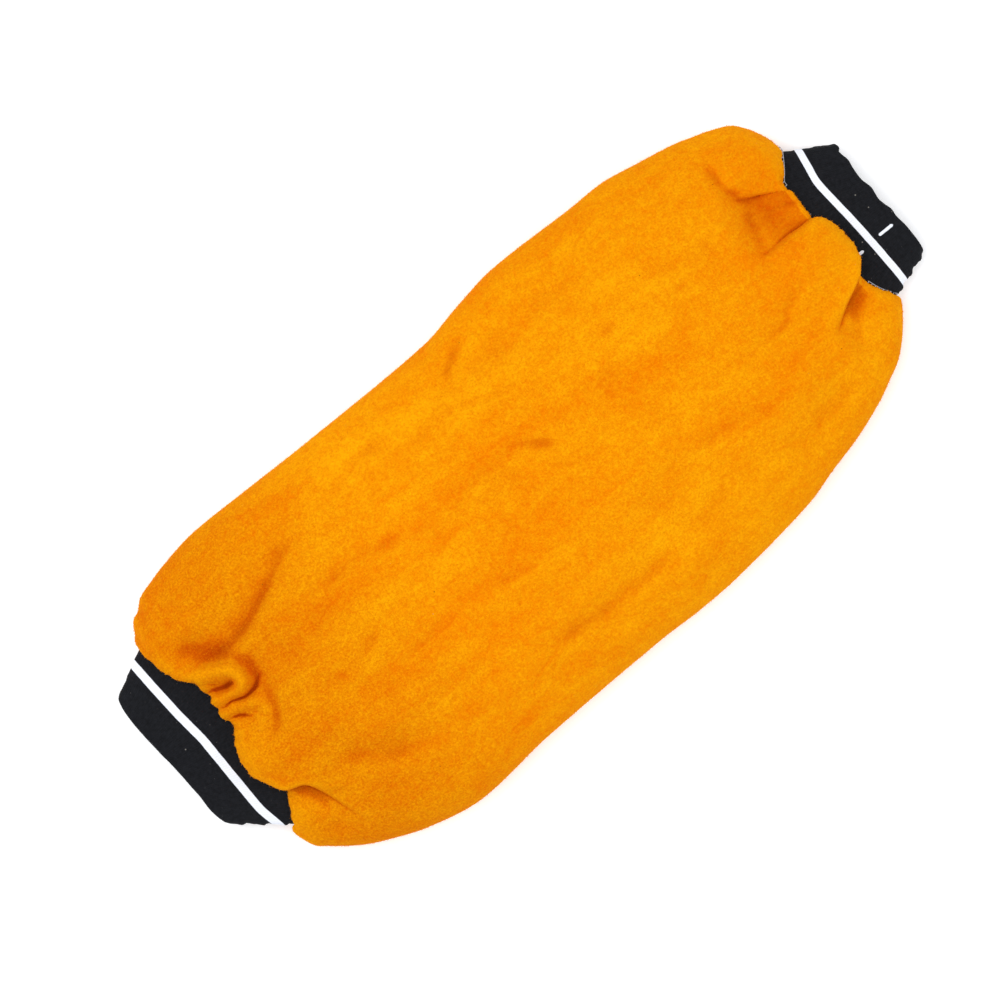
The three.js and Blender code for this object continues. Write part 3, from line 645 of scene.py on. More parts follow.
def waves(x, y):
    """The faint unevenness of a soft hide, in mm."""
    rng = np.random.default_rng(SEED)
    height = np.zeros(len(x))
    # The length of each wave and its height.
    sizes = ((70, 0.55), (52, 0.5), (38, 0.38), (27, 0.25), (19, 0.14), (13, 0.06), (9, 0.03))
    for wave, size in sizes:
        for _ in range(3):
            turn, phase = rng.uniform(0, np.pi), rng.uniform(0, 2 * np.pi)
            across = x * np.cos(turn) * 0.6 + y * np.sin(turn)
            height += size * np.sin(2 * np.pi * across / wave + phase) / 1.7
    return height


def lowest_near(grid, reach):
    """Each place's lowest value within some rows and columns of it."""
    low = grid.copy()
    for _ in range(reach):
        low = np.minimum(low, np.minimum(np.roll(low, 1, 1), np.roll(low, -1, 1)))
        low[1:] = np.minimum(low[1:], low[:-1])
        low[:-1] = np.minimum(low[:-1], low[1:])
    return low


def suede_grids(settings):
    """The suede's outer and inner faces, each as rings of points from one hidden edge to the
    other, with the rows that the inner face keeps, how open each row is, and the shade painted
    on the nap."""
    count = len(ANGLES)
    columns = np.arange(count)
    thickness = settings.thickness / MM

    def puff_rows(cuff):
        puff = puffs(cuff)
        _, _, _, tip = layers_at(cuff, puff, ANGLES, columns)
        nose = np.minimum(tip / 2, puff * NOSE_SHARE)
        rows = [(-SEAM_ALLOWANCE / np.maximum(puff - nose, 0.1), 0, 0), (0, 0, 0), (0.5, 0, 0)]
        turns = [math.pi * i / 8 for i in range(9)]
        rows += [(1, math.sin(turn), (1 - math.cos(turn)) / 2) for turn in turns]
        rows += [(run, 0, 1) for run in (0.88, 0.76, 0.64, 0.52, 0.4, 0.27, 0.13, 0.0)]
        found = []
        for run, out_share, rise in rows:
            faces = []
            for inset in (0, thickness):
                out = (puff - nose) * run + (nose - inset) * out_share
                x, low, high, apart = layers_at(cuff, out, ANGLES, columns)
                t = lerp(inset / apart, 1 - inset / apart, rise)
                y, z = lerp(low[0], high[0], t), lerp(low[1], high[1], t)
                faces.append(np.stack([x + 0 * y, y, z], 1))
            found.append((*faces, math.sqrt(rise)))
        return found

    def body_row(x):
        def ring(at):
            y, z = gathered_point(at, ANGLES, columns)
            return np.stack([np.full(count, float(at)), y, z], 1)

        here = ring(x)
        around = np.roll(here, -1, 0) - np.roll(here, 1, 0)
        normal = np.cross(around, ring(x + 0.5) - ring(x - 0.5))
        normal /= np.linalg.norm(normal, axis=1)[:, None]
        return here, here - thickness * normal, 1.0

    # Rows of points from one seam to the other, closest where the folds are: (from, step).
    half = TUBE_LENGTH / 2
    steps = [(-half + 0.9, 0.9), (-half + 38, 1.7), (-half + 66, 2.6)]
    steps += [(half - 66, 1.8), (half - 38, 1.0), (half - 0.9, 0)]
    spans = zip(steps, steps[1:])
    body = np.concatenate([np.arange(a, b - step / 2, step) for (a, step), (b, _) in spans])
    start, end = puff_rows(UPPER), puff_rows(WRIST)[::-1]
    rows = [*start, *(body_row(x) for x in body), *end]
    outer, inner, share = (np.array(part) for part in zip(*rows))
    # The inner face keeps every row near the cuffs and each third one between them.
    body_number = np.arange(len(rows)) - len(start)
    keep = (body_number < 0) | (body_number >= len(body)) | (body_number % 3 == 0)
    # The folds and waves move the upper face. The inner face goes down with it and stays below it.
    flat = outer.reshape(-1, 3)
    angle, column = np.tile(ANGLES, len(rows)), np.tile(columns, len(rows))
    moved, painted_fold_shade = relief(flat[:, 0], flat[:, 1])
    moved *= settings.fold_height
    moved[:, 2] += waves(flat[:, 0], flat[:, 1])
    _, high = gathered_point(flat[:, 0], angle, column)
    lowest = [pressed_point(cuff, flat[:, 0], angle)[1] for cuff in CUFFS]
    room = np.maximum(high - np.where(flat[:, 0] < 0, *lowest), 0.1)
    down = np.maximum(-moved[:, 2], 0)
    moved[:, 2] = np.where(down > 0, -room * (1 - np.exp(-down / room)), moved[:, 2])
    facing = np.clip(np.sin(angle) * 2, 0, 1) * np.repeat(share, count)
    moved *= facing[:, None]
    painted_fold_shade = (painted_fold_shade * facing).reshape(outer.shape[:2])
    moved = moved.reshape(outer.shape)
    outer += moved
    inner += moved
    inner[:, :, 2] += lowest_near(moved[:, :, 2], 2) - moved[:, :, 2]
    return outer, inner, keep, share, painted_fold_shade


def ring_faces(rows, columns, start, flip):
    """The quads between rings of points, the last column joined to the first."""
    i, j = np.meshgrid(np.arange(rows - 1), np.arange(columns), indexing="ij")
    a, b = i * columns + j, i * columns + (j + 1) % columns
    quads = np.stack([a, b, b + columns, a + columns], -1).reshape(-1, 4) + start
    return quads[:, ::-1] if flip else quads


def wall_mesh(name, outer, inner):
    """A closed wall between two faces, each rings of points, closed over at both ends. The inner
    face has as many columns as the outer one, or half as many."""
    columns, inner_columns = outer.shape[1], inner.shape[1]
    skip = columns // inner_columns
    points = np.vstack([outer.reshape(-1, 3), inner.reshape(-1, 3)])
    second = outer.shape[0] * columns
    faces = ring_faces(outer.shape[0], columns, 0, False).tolist()
    faces += ring_faces(inner.shape[0], inner_columns, second, True).tolist()
    ends = ((0, second, 1), (second - columns, len(points) - inner_columns, -1))
    for first_out, first_in, way in ends:
        for j in range(inner_columns):
            along = [first_out + (j * skip + k) % columns for k in range(skip + 1)]
            faces.append([*along[::-1], first_in + j, first_in + (j + 1) % inner_columns][::way])
    mesh = bpy.data.meshes.new(name)
    mesh.from_pydata(((points + PLACE) * MM).tolist(), [], faces)
    mesh.polygons.foreach_set("use_smooth", np.ones(len(mesh.polygons), bool))
    mesh.update()
    return mesh


def attribute(mesh, name, values):
    """A number for each point of a mesh, which its material reads."""
    data = mesh.attributes.new(name, "FLOAT", "POINT").data
    data.foreach_set("value", np.asarray(values, np.float32))


def blurred(grid, times):
    """A grid of rings smoothed by its neighbours."""
    grid = grid.copy()
    for _ in range(times):
        grid = (np.roll(grid, 1, 1) + np.roll(grid, -1, 1) + 2 * grid) / 4
        grid[1:-1] = (grid[:-2] + grid[2:] + 2 * grid[1:-1]) / 4
    return grid


def hollowness(outer):
    """How far each place lies below those close to it: above 0 in a hollow, below 0 on a crown."""
    around = (np.roll(outer, -1, 1) - np.roll(outer, 1, 1)) / 2
    normal = np.cross(around, np.gradient(outer, axis=0))
    normal /= np.maximum(np.linalg.norm(normal, axis=2, keepdims=True), 1e-9)
    return ((blurred(outer, 8) - outer) * normal).sum(2)


def elastic_mesh(cuff, thickness):
    """One cuff: a soft-edged ring whose free edge and folds are a little uneven."""
    straight = cuff_length(cuff, ANGLES)
    y_edge, _ = cuff_point(cuff, cuff["seam"] + cuff["outward"] * straight, ANGLES, 0)
    rim = table(cuff["rim"], y_edge)

    def ring(out_share, inset, extra=0.0):
        out = np.where(out_share <= 0, out_share * SEAM_ALLOWANCE, out_share * straight)
        x = cuff["seam"] + cuff["outward"] * out
        y, z = cuff_point(cuff, x, ANGLES, inset)
        shift = (rim * smoothstep(out_share, 0.4, 1.0) + extra) * cuff["outward"]
        return np.stack([x + shift, y, z], 1)

    # Rows from the edge inside the tube, -1, over the seam, 0, to the free edge, 1.
    shares = [-1.0, -0.5, 0.0, *np.linspace(0.04, 1.0, 30)[:-1], 0.985]
    outer, inner = ([ring(share, inset) for share in shares] for inset in (0, thickness))
    # The free edge is folded over, so it is round.
    for turn in (0.25, 0.5, 0.75):
        inset = thickness / 2 * (1 - math.cos(math.pi * turn))
        outer.append(ring(1.0, inset, 0.7 * math.sin(math.pi * turn) - 0.3))
    outer, inner = np.array(outer), np.array(inner)
    # Ripples, strongest where the elastic is folded at its sides.
    phase = np.random.default_rng(SEED + len(cuff["name"])).uniform(0, 6.28)
    turn = np.arange(len(ANGLES)) / len(ANGLES) * 2 * np.pi
    sides = np.abs(np.cos(ANGLES)) ** 6 * cuff["outward"]
    for grid in (outer, inner):
        along = np.abs(grid[:, :, 0] - cuff["seam"])
        ripple = np.sin(along * 0.75 + phase) * 0.35 + np.sin(along * 1.5 + 2 * phase) * 0.22
        below = grid[:, :, 1] < cuff["seam_middle"]
        grid[:, :, 1] += np.where(below, 1.6, 0.5) * ripple * sides * (along > 1)
        grid[:, :, 2] += 0.25 * np.sin(turn * 9 + phase) * smoothstep(along, 2, 20)
    order = slice(None, None, cuff["outward"])
    mesh = wall_mesh(cuff["name"] + "_knit", outer[order], inner[order])
    # What the knit's pattern reads: the ways around and out, and how far the white yarn is.
    lengths = np.linalg.norm(np.roll(outer, -1, 1) - outer, axis=2)
    around = np.concatenate([np.zeros((len(outer), 1)), np.cumsum(lengths, 1)[:, :-1]], 1)
    around = np.broadcast_to(around[len(shares) // 2], outer.shape[:2])
    stripe = (outer[:, :, 0] - table(cuff["stripe"], outer[:, :, 1])) / cuff["stripe_share"]
    out = np.abs(outer[:, :, 0] - cuff["seam"])
    tick = np.full(outer.shape[:2], OFF_PATTERN)
    for low, high, middle in cuff["marks"]:
        reach = np.maximum(np.abs(out - (low + high) / 2) - (high - low) / 2, 0)
        tick = np.minimum(tick, np.hypot(reach, outer[:, :, 1] - middle) - MARK_HALF_WIDTH)
    for name, grid, inside in (
        ("around", around, 0.0), ("out", out, 0.0),
        ("stripe", stripe, OFF_PATTERN), ("tick", tick, OFF_PATTERN),
    ):
        rest = np.full(inner.shape[0] * inner.shape[1], inside)
        attribute(mesh, name, np.concatenate([grid[order].ravel(), rest]))
    return mesh


def stitch_paths():
    """The overlock stitches' paths: their points, the side each is sewn from, and their edges."""
    points, sides, edges = [], [], []

    def path(places, side, closed):
        start, count = len(points), len(places)
        points.extend(places.tolist())
        sides.extend([side] * count)
        links = count if closed else count - 1
        edges.extend((start + i, start + (i + 1) % count) for i in range(links))

    for cuff in CUFFS:
        # Round the edges of both layers, inside the tube.
        x = cuff["seam"] - cuff["outward"] * (SEAM_ALLOWANCE + 0.1)
        y, z = cuff_point(cuff, x, ANGLES, 0.2)
        path(np.stack([np.full(len(ANGLES), x), y, z], 1), (-cuff["outward"], 0.0, 0.0), True)
    for low, high in BARE_SEAMS:
        # At the suede's edge on the cuff.
        y = np.linspace(low, high, 24)
        x = table(WRIST["edge"], y) + 0.1
        out = (x - WRIST["seam"]) / WRIST["length"]
        half = lerp(WRIST["seam_width"], WRIST["edge_width"], out) / 2
        across = np.clip((y - WRIST["seam_middle"]) / half, -0.98, 0.98)
        _, z = cuff_point(WRIST, x, np.arccos(signed_power(across, 1 / CUFF_POWER)), -0.4)
        path(np.stack([x, y, z], 1), (1.0, 0.0, -0.2), False)
    return points, sides, edges


# ---------------------------------------------------------------- pieces and materials

MATH, MIX, NOISE = "ShaderNodeMath", "ShaderNodeMix", "ShaderNodeTexNoise"
PLUS = {"operation": "ADD"}
TIMES = {"operation": "MULTIPLY"}
SUM = {"operation": "MULTIPLY_ADD"}  # a value times a second one, plus a third
SHARE = {**SUM, "use_clamp": True}  # the same, kept from 0 to 1
MIXED = {"data_type": "RGBA", "clamp_factor": True}
TINTED = {**MIXED, "blend_type": "MULTIPLY"}


def place_piece(name, mesh, node, material):
    """A finished piece: it rides on the sleeve, takes the given material and hides its solid."""
    piece = bpy.data.objects.new(name, mesh)
    bpy.context.scene.collection.objects.link(piece)
    mesh.materials.clear()
    mesh.materials.append(material)
    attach(piece, "root")
    if node:
        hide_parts(node)
    return piece


def add(tree, kind, *values, inputs=None, **settings):
    """Adds a node with its settings. Its inputs take the values, in order or by name, and are
    linked where a value is a socket, or a node, which stands for its first output in use."""
    node = tree.nodes.new(kind)
    for key, value in settings.items():
        setattr(node, key, value)
    for key, value in [*enumerate(values), *(inputs or {}).items()]:
        if isinstance(value, bpy.types.Node):
            value = next(socket for socket in value.outputs if socket.enabled)
        if isinstance(value, bpy.types.NodeSocket):
            tree.links.new(value, node.inputs[key])
        else:
            node.inputs[key].default_value = value
    return node


def new_material(name):
    material = bpy.data.materials.new(name)
    material.use_nodes = True
    material.node_tree.nodes.clear()
    return material, material.node_tree


def surface(tree, coloured, look, bump=None):
    """Ends a material in its shader, with a bump given as strength, depth in mm and height."""
    inputs = {"Base Color": coloured, **look}
    if bump:
        strength, depth, height = bump
        shaped = {"Strength": strength, "Distance": depth * MM, "Height": height}
        inputs["Normal"] = add(tree, "ShaderNodeBump", inputs=shaped)
    add(tree, "ShaderNodeOutputMaterial", add(tree, "ShaderNodeBsdfPrincipled", inputs=inputs))


def blobs(vector, millimetres, detail=2.0, roughness=0.5, distortion=0.0):
    """What a noise is given so that its blobs are about that many millimetres across."""
    return {
        "Vector": vector, "Scale": 0.5 / (millimetres * MM),
        "Detail": detail, "Roughness": roughness, "Distortion": distortion,
    }


def suede_material(settings):
    """Split cowhide, drum-dyed and buffed: the open nap scatters light, so it has no gloss, goes
    pale where it is seen edge-on and is mottled where the fibres lie different ways."""
    material, tree = new_material("split_cowhide_suede_buffed")
    place = add(tree, "ShaderNodeTexCoord").outputs["Object"]
    # Painted shade from the tube's folds and hollows, below 0 for a painted highlight on crowns.
    painted_shading = add(tree, "ShaderNodeAttribute", attribute_name="painted_shading").outputs["Fac"]
    # The hide is buffed along the sleeve, so its patches are three times as long as wide.
    lengthwise = {"Vector": place, "Rotation": (0, 0, 0.1), "Scale": (0.33, 1, 1)}
    drawn = add(tree, "ShaderNodeMapping", inputs=lengthwise)
    # The nap's fibres are 0.1 mm thick. Their tufts, 0.5 to 1.5 mm wide, are the finest that show.
    patches, streaks, clouds, tufts, fine = (
        add(tree, NOISE, inputs=blobs(*layer))
        for layer in (
            (drawn, 20, 2, 0.5, 0.3), (drawn, 6, 3, 0.6, 0.5),
            (place, 4, 2, 0.6), (place, 1.5, 2, 0.6), (place, 0.55, 2, 0.75),
        )
    )
    # Old creases: the contours of two slow noises, 1 mm wide, each broken up by a third.
    creases = 0.0
    for size, stretched in ((17, drawn), (24, place)):
        swirl = add(tree, NOISE, inputs=blobs(stretched, size, 1, 0.4, 0.7))
        line = add(tree, MATH, add(tree, MATH, swirl, -0.5, **PLUS), operation="ABSOLUTE")
        line = add(tree, MATH, line, -45.0, 1.0, **SHARE)
        broken = add(tree, NOISE, inputs=blobs(place, size * 0.7, 1))
        shown = add(tree, MATH, broken, 7.0, -3.8, **SHARE)
        creases = add(tree, MATH, line, shown, creases, **SUM)
    # The nap is roughest at the upper arm, and its colour darker there: from 70 mm off the middle
    # to 150 mm.
    along = add(tree, "ShaderNodeSeparateXYZ", place)
    upper_end = add(tree, MATH, along, -1 / (80 * MM), -0.875, **SHARE)
    rough = add(tree, MATH, upper_end, 0.7, 1.35, **SUM)
    tone = 0.5
    layers = ((patches, 1.15), (streaks, 0.95), (clouds, 0.55), (tufts, 0.9), (fine, rough))
    for layer, amount in layers:
        tone = add(tree, MATH, add(tree, MATH, layer, -0.5, **PLUS), amount, tone, **SUM)
    # Painted shade along the old creases, whose relief goes into the bump.
    tone = add(tree, MATH, creases, -0.2, tone, **SUM)
    coloured = add(tree, "ShaderNodeValToRGB", tone)
    stops = coloured.color_ramp.elements
    stops.new(0.5)
    shades = (settings.drawn, settings.base, settings.bright)
    for stop, position, shade in zip(stops, (0, 0.5, 1), shades):
        stop.position, stop.color = position, tuple(shade)
    # Painted shade in folds and hollows, darker in the deepest, a darker colour towards the
    # upper-arm end, and a painted highlight on crowns.
    for mix, factor, shade in (
        (TINTED, add(tree, MATH, painted_shading, 2.6, -0.12, **SHARE), settings.shaded),
        (TINTED, add(tree, MATH, painted_shading, 1.4, -0.3, **SHARE), settings.deep),
        (TINTED, upper_end, settings.upper_end),
        (MIXED, add(tree, MATH, painted_shading, -0.5, -0.05, **SHARE), settings.bright),
    ):
        coloured = add(tree, MIX, inputs={0: factor, 6: coloured, 7: tuple(shade)}, **mix)
    # Pores between the tufts, darker and lighter than the rest.
    depth = add(tree, MATH, upper_end, 0.2, 0.34, **SUM)
    pores = add(tree, MATH, add(tree, MATH, fine, -0.5, **PLUS), depth, 1.0, **SUM)
    scaled = {0: coloured, "Scale": pores}
    coloured = add(tree, "ShaderNodeVectorMath", inputs=scaled, operation="SCALE")
    # A few loose dark fibres and pale dust, 0.6 mm long, as on any hide that has been handled.
    specks = add(tree, "ShaderNodeTexVoronoi", inputs={"Vector": place, "Scale": 1 / (11 * MM)})
    picked = add(tree, "ShaderNodeSeparateColor", specks.outputs["Color"])
    speck = add(tree, MATH, specks.outputs["Distance"], 0.028, operation="LESS_THAN")
    for test, limit, shade in (("GREATER_THAN", 0.55, "#9a5206"), ("LESS_THAN", 0.1, "#e0b070")):
        factor = add(tree, MATH, speck, add(tree, MATH, picked, limit, operation=test), **TIMES)
        coloured = add(tree, MIX, inputs={0: factor, 6: coloured, 7: linear(shade)}, **MIXED)
    height = add(tree, MATH, tufts, 0.5, add(tree, MATH, fine, 0.6, **TIMES), **SUM)
    height = add(tree, MATH, creases, -0.3, height, **SUM)
    look = {
        "Roughness": 0.95, "IOR": 1.45, "Specular IOR Level": 0.03,
        "Sheen Weight": 0.4, "Sheen Roughness": 0.5, "Sheen Tint": linear("#ff9a0c"),
    }
    surface(tree, coloured, look, (0.6, 0.9, height))
    return material


def fibre_material(settings):
    """Loose cowhide fibre ends, dyed through: dull, and a little paler than the nap below."""
    material, tree = new_material("cowhide_nap_fibre_dyed")
    place = add(tree, "ShaderNodeTexCoord").outputs["Object"]
    shade = add(tree, NOISE, inputs=blobs(place, 3, 2, 0.6))
    ends = {0: shade, 6: tuple(settings.base), 7: tuple(settings.bright)}
    look = {"Roughness": 0.9, "IOR": 1.45, "Specular IOR Level": 0.1}
    surface(tree, add(tree, MIX, inputs=ends, **MIXED), look)
    return material


def elastic_material(settings):
    """Ribbed knit of black polyester over rubber with white yarn woven in: matt, with soft ribs
    along the cuff and a few pale specks of lint."""
    material, tree = new_material("ribbed_knit_elastic_black_white")
    place = add(tree, "ShaderNodeTexCoord").outputs["Object"]
    around, out, stripe, tick = (
        add(tree, "ShaderNodeAttribute", attribute_name=name).outputs["Fac"]
        for name in ("around", "out", "stripe", "tick")
    )
    # Ribs a rib pitch apart run from seam to edge, crossed by courses 0.9 mm apart.
    rib, course = (
        add(tree, MATH, add(tree, MATH, way, 2 * math.pi / pitch, **TIMES), operation="SINE")
        for way, pitch in ((around, settings.rib_pitch / MM), (out, 0.9))
    )
    knit = add(tree, MATH, course, 0.45, rib, **SUM)
    # The stripe and the thread marks have edges 0.2 mm soft that wander by up to 0.25 mm.
    wobble = add(tree, MATH, add(tree, NOISE, inputs=blobs(place, 1.6)), 0.5, -0.25, **SUM)
    across = add(tree, MATH, add(tree, MATH, wobble, 0.5, stripe, **SUM), operation="ABSOLUTE")
    half = settings.stripe_width / MM / 2
    white = add(tree, MATH, across, -5.0, half * 5.0 + 0.5, **SHARE)
    marks = add(tree, MATH, add(tree, MATH, tick, wobble, **PLUS), -5.0, 0.5, **SHARE)
    white = add(tree, MATH, white, marks, operation="MAXIMUM")
    grain = add(tree, NOISE, inputs=blobs(place, 0.9, 3, 0.75))
    shade = add(tree, MATH, knit, 0.1, add(tree, MATH, grain, 2.2, -0.6, **SUM), **SHARE)
    dark, light = ((*(share * v for v in settings.black[:3]), 1.0) for share in (0.55, 1.6))
    black = add(tree, MIX, inputs={0: shade, 6: dark, 7: light}, **MIXED)
    # Lint: pale dots and short hairs 0.6 mm across, one or two to a square centimetre.
    for pitch, size, least, strength in ((6.5, 0.075, 0.5, 0.6), (3.1, 0.08, 0.72, 0.28)):
        spread = {"Vector": place, "Scale": 1 / (pitch * MM)}
        flecks = add(tree, "ShaderNodeTexVoronoi", inputs=spread)
        picked = add(tree, "ShaderNodeSeparateColor", flecks.outputs["Color"])
        picked = add(tree, MATH, picked, least, operation="GREATER_THAN")
        speck = add(tree, MATH, flecks.outputs["Distance"], -2 / size, 2.0, **SHARE)
        speck = add(tree, MATH, add(tree, MATH, speck, picked, **TIMES), strength, **TIMES)
        black = add(tree, MIX, inputs={0: speck, 6: black, 7: linear("#98938a")}, **MIXED)
    ribbed = add(tree, MATH, knit, 0.1, 0.1, **SHARE)
    yarn = {0: ribbed, 6: tuple(settings.white), 7: linear("#ccd6e8")}
    pale = add(tree, MIX, inputs=yarn, **MIXED)
    coloured = add(tree, MIX, inputs={0: white, 6: black, 7: pale}, **MIXED)
    height = add(tree, MATH, knit, 0.3, add(tree, MATH, grain, 0.9, **TIMES), **SUM)
    look = {
        "Roughness": 0.88, "IOR": 1.5, "Specular IOR Level": 0.12,
        "Sheen Weight": 0.03, "Sheen Roughness": 0.5,
    }
    surface(tree, coloured, look, (0.4, 0.35, height))
    return material


def thread_material(settings):
    """Spun polyester sewing thread, pale and matt, with its plies showing as a faint twist."""
    material, tree = new_material("spun_polyester_thread_pale")
    place = add(tree, "ShaderNodeTexCoord").outputs["Object"]
    twist = add(tree, NOISE, inputs=blobs(place, 0.6, 1))
    plies = {0: twist, 6: tuple(settings.shade), 7: linear("#a9adb8")}
    coloured = add(tree, MIX, inputs=plies, **MIXED)
    surface(tree, coloured, {"Roughness": 0.8, "IOR": 1.5}, (0.3, 0.2, twist))
    return material


def node_group(name, **sockets):
    """An empty Geometry Nodes tree with named inputs, and its input node's sockets."""
    tree = bpy.data.node_groups.new(name, "GeometryNodeTree")
    ends = [("Geometry", "INPUT", "Geometry"), ("Geometry", "OUTPUT", "Geometry")]
    for label, way, kind in ends + [(key, "INPUT", kind) for key, kind in sockets.items()]:
        tree.interface.new_socket(name=label, in_out=way, socket_type="NodeSocket" + kind)
    return tree, tree.nodes.new("NodeGroupInput").outputs


def finish_group(tree, geometry, material):
    """Ends a tree in Realize Instances and Set Material."""
    real = add(tree, "GeometryNodeRealizeInstances", geometry)
    painted = add(tree, "GeometryNodeSetMaterial", inputs={"Geometry": real, "Material": material})
    add(tree, "NodeGroupOutput", painted)


def grow_piece(name, host_mesh, tree, material, values):
    """A piece that a tree grows on a mesh, made a plain mesh."""
    host = bpy.data.objects.new(host_mesh.name, host_mesh)
    bpy.context.scene.collection.objects.link(host)
    modifier = host.modifiers.new(name, "NODES")
    modifier.node_group = tree
    for item in tree.interface.items_tree:
        if item.in_out == "INPUT" and item.name in values:
            modifier[item.identifier] = values[item.name]
    graph = bpy.context.evaluated_depsgraph_get()
    mesh = bpy.data.meshes.new_from_object(host.evaluated_get(graph))
    mesh.name = name
    host.modifiers.clear()
    bpy.data.objects.remove(host)
    place_piece(name, mesh, None, material)


def fibre_tree(material):
    """Nap fibres: three-sided spikes scattered over a face, each leaning its own way."""
    numbers = {"Density": "Float", "Length": "Float", "Width": "Float", "Seed": "Int"}
    tree, given = node_group("nap_fibres", **numbers)
    weight = add(tree, "GeometryNodeInputNamedAttribute", "nap", data_type="FLOAT")
    density = add(tree, MATH, given["Density"], weight, **TIMES)
    scattered = {"Mesh": given["Geometry"], "Density": density, "Seed": given["Seed"]}
    points = add(tree, "GeometryNodeDistributePointsOnFaces", inputs=scattered)
    width, tall = given["Width"], given["Length"]
    sizes = {"Vertices": 3, "Radius Top": 0.0, "Radius Bottom": width, "Depth": tall}
    spike = add(tree, "GeometryNodeMeshCone", inputs=sizes, fill_type="NONE")
    turned = points.outputs["Rotation"]
    # Each fibre is spun about its root, then laid over by 40 to 83 degrees.
    for low, high, seed in (((0, 0, 0), (0, 0, 6.283), 3), ((0.7, 0, 0), (1.45, 0, 0), 5)):
        span = {"Min": low, "Max": high, "Seed": seed}
        turn = add(tree, "FunctionNodeRandomValue", inputs=span, data_type="FLOAT_VECTOR")
        turn = add(tree, "FunctionNodeEulerToRotation", turn)
        turned = add(tree, "FunctionNodeRotateRotation", turned, turn, rotation_space="LOCAL")
    limits = {2: 0.45, 3: 1.2, "Seed": 7}
    size = add(tree, "FunctionNodeRandomValue", inputs=limits, data_type="FLOAT")
    grown = {"Points": points, "Instance": spike, "Rotation": turned, "Scale": size}
    finish_group(tree, add(tree, "GeometryNodeInstanceOnPoints", inputs=grown), material)
    return tree


def stitch_tree(material):
    """Overlock stitches: one bent thread for each pitch along the path it is given."""
    tree, given = node_group("overlock_stitches", Pitch="Float", Thread="Float", Wrap="Float")
    path = add(tree, "GeometryNodeMeshToCurve", given["Geometry"])
    spaced = {"Curve": path, "Length": given["Pitch"]}
    places = add(tree, "GeometryNodeResampleCurve", inputs=spaced, mode="LENGTH")
    tangent = add(tree, "GeometryNodeInputTangent")
    side = add(tree, "GeometryNodeInputNamedAttribute", "side", data_type="FLOAT_VECTOR")
    align = "FunctionNodeAlignRotationToVector"
    first = add(tree, align, inputs={"Vector": side}, axis="X")
    ways = {"Rotation": first, "Vector": tangent}
    turned = add(tree, align, inputs=ways, axis="Y", pivot_axis="X")
    bent = {"Resolution": 7, "Radius": given["Wrap"]}
    bent.update({"Start Angle": math.radians(-105), "Sweep Angle": math.radians(210)})
    arc = add(tree, "GeometryNodeCurveArc", inputs=bent, mode="RADIUS")
    stood = {"Geometry": arc, "Rotation": (math.pi / 2, 0.0, 0.35)}
    upright = add(tree, "GeometryNodeTransform", inputs=stood)
    section = {"Resolution": 5, "Radius": given["Thread"]}
    profile = add(tree, "GeometryNodeCurvePrimitiveCircle", inputs=section, mode="RADIUS")
    solid = {"Curve": upright, "Profile Curve": profile, "Fill Caps": True}
    thread = add(tree, "GeometryNodeCurveToMesh", inputs=solid)
    sewn = {"Points": places, "Instance": thread, "Rotation": turned}
    copies = add(tree, "GeometryNodeInstanceOnPoints", inputs=sewn)
    # The looper thread runs along the stitches' outer ends.
    reach = {0: side, "Scale": given["Wrap"]}
    beyond = add(tree, "ShaderNodeVectorMath", inputs=reach, operation="SCALE")
    moved = add(tree, "GeometryNodeSetPosition", inputs={"Geometry": places, "Offset": beyond})
    looper = add(tree, "GeometryNodeCurveToMesh", inputs={"Curve": moved, "Profile Curve": profile})
    joined = add(tree, "GeometryNodeJoinGeometry")
    for part in (copies, looper):
        tree.links.new(part.outputs[0], joined.inputs[0])
    finish_group(tree, add(tree, "GeometryNodeSetShadeSmooth", joined), material)
    return tree


# ---------------------------------------------------------------- operators


class SLEEVE_OT_suede_tube(bpy.types.Operator):
    """Build the suede tube with its gathers and folds"""

    bl_idname = "sleeve.suede_tube"
    bl_label = "Suede tube"

    def execute(self, context):
        settings = context.scene.sleeve_suede
        outer, inner, keep, _, painted_fold_shade = suede_grids(settings)
        kept = inner[keep][:, ::2]
        mesh = wall_mesh("suede_tube_napped", outer, kept)
        # Painted shading for the suede: shade in folds and hollows, a highlight on crowns, and
        # shade over the whole inside of the tube.
        painted_shading = (painted_fold_shade + 0.9 * hollowness(outer)).ravel()
        inside = np.full(kept.shape[0] * kept.shape[1], PAINTED_SHADE_INSIDE)
        attribute(mesh, "painted_shading", np.concatenate([painted_shading, inside]))
        place_piece("suede_tube_napped", mesh, "suede_tube", suede_material(settings))
        return {"FINISHED"}


class SLEEVE_OT_nap_fibres(bpy.types.Operator):
    """Grow the loose nap fibres that stand out of the suede"""

    bl_idname = "sleeve.nap_fibres"
    bl_label = "Nap fibres"

    def execute(self, context):
        settings = context.scene.sleeve_suede
        outer, _, _, share, _ = suede_grids(settings)
        mesh = bpy.data.meshes.new("nap_host")
        points = (outer.reshape(-1, 3) + PLACE) * MM
        mesh.from_pydata(points.tolist(), [], ring_faces(*outer.shape[:2], 0, False).tolist())
        # Thickest along the outline, where they show, and none where the sleeve meets the table.
        share = share[:, None]
        density = 0.55 + 1.1 * np.abs(np.cos(ANGLES[None, :])) ** 3 + 1.2 * (share < 0.9)
        density = density * smoothstep(outer[:, :, 2], 2.5, 6.0) * (share > 0.2)
        attribute(mesh, "nap", density.ravel())
        material = fibre_material(settings)
        values = {"Density": settings.fibre_density, "Length": settings.fibre_length}
        values.update({"Width": settings.fibre_width / 2, "Seed": SEED})
        grow_piece("nap_fibres", mesh, fibre_tree(material), material, values)
        return {"FINISHED"}


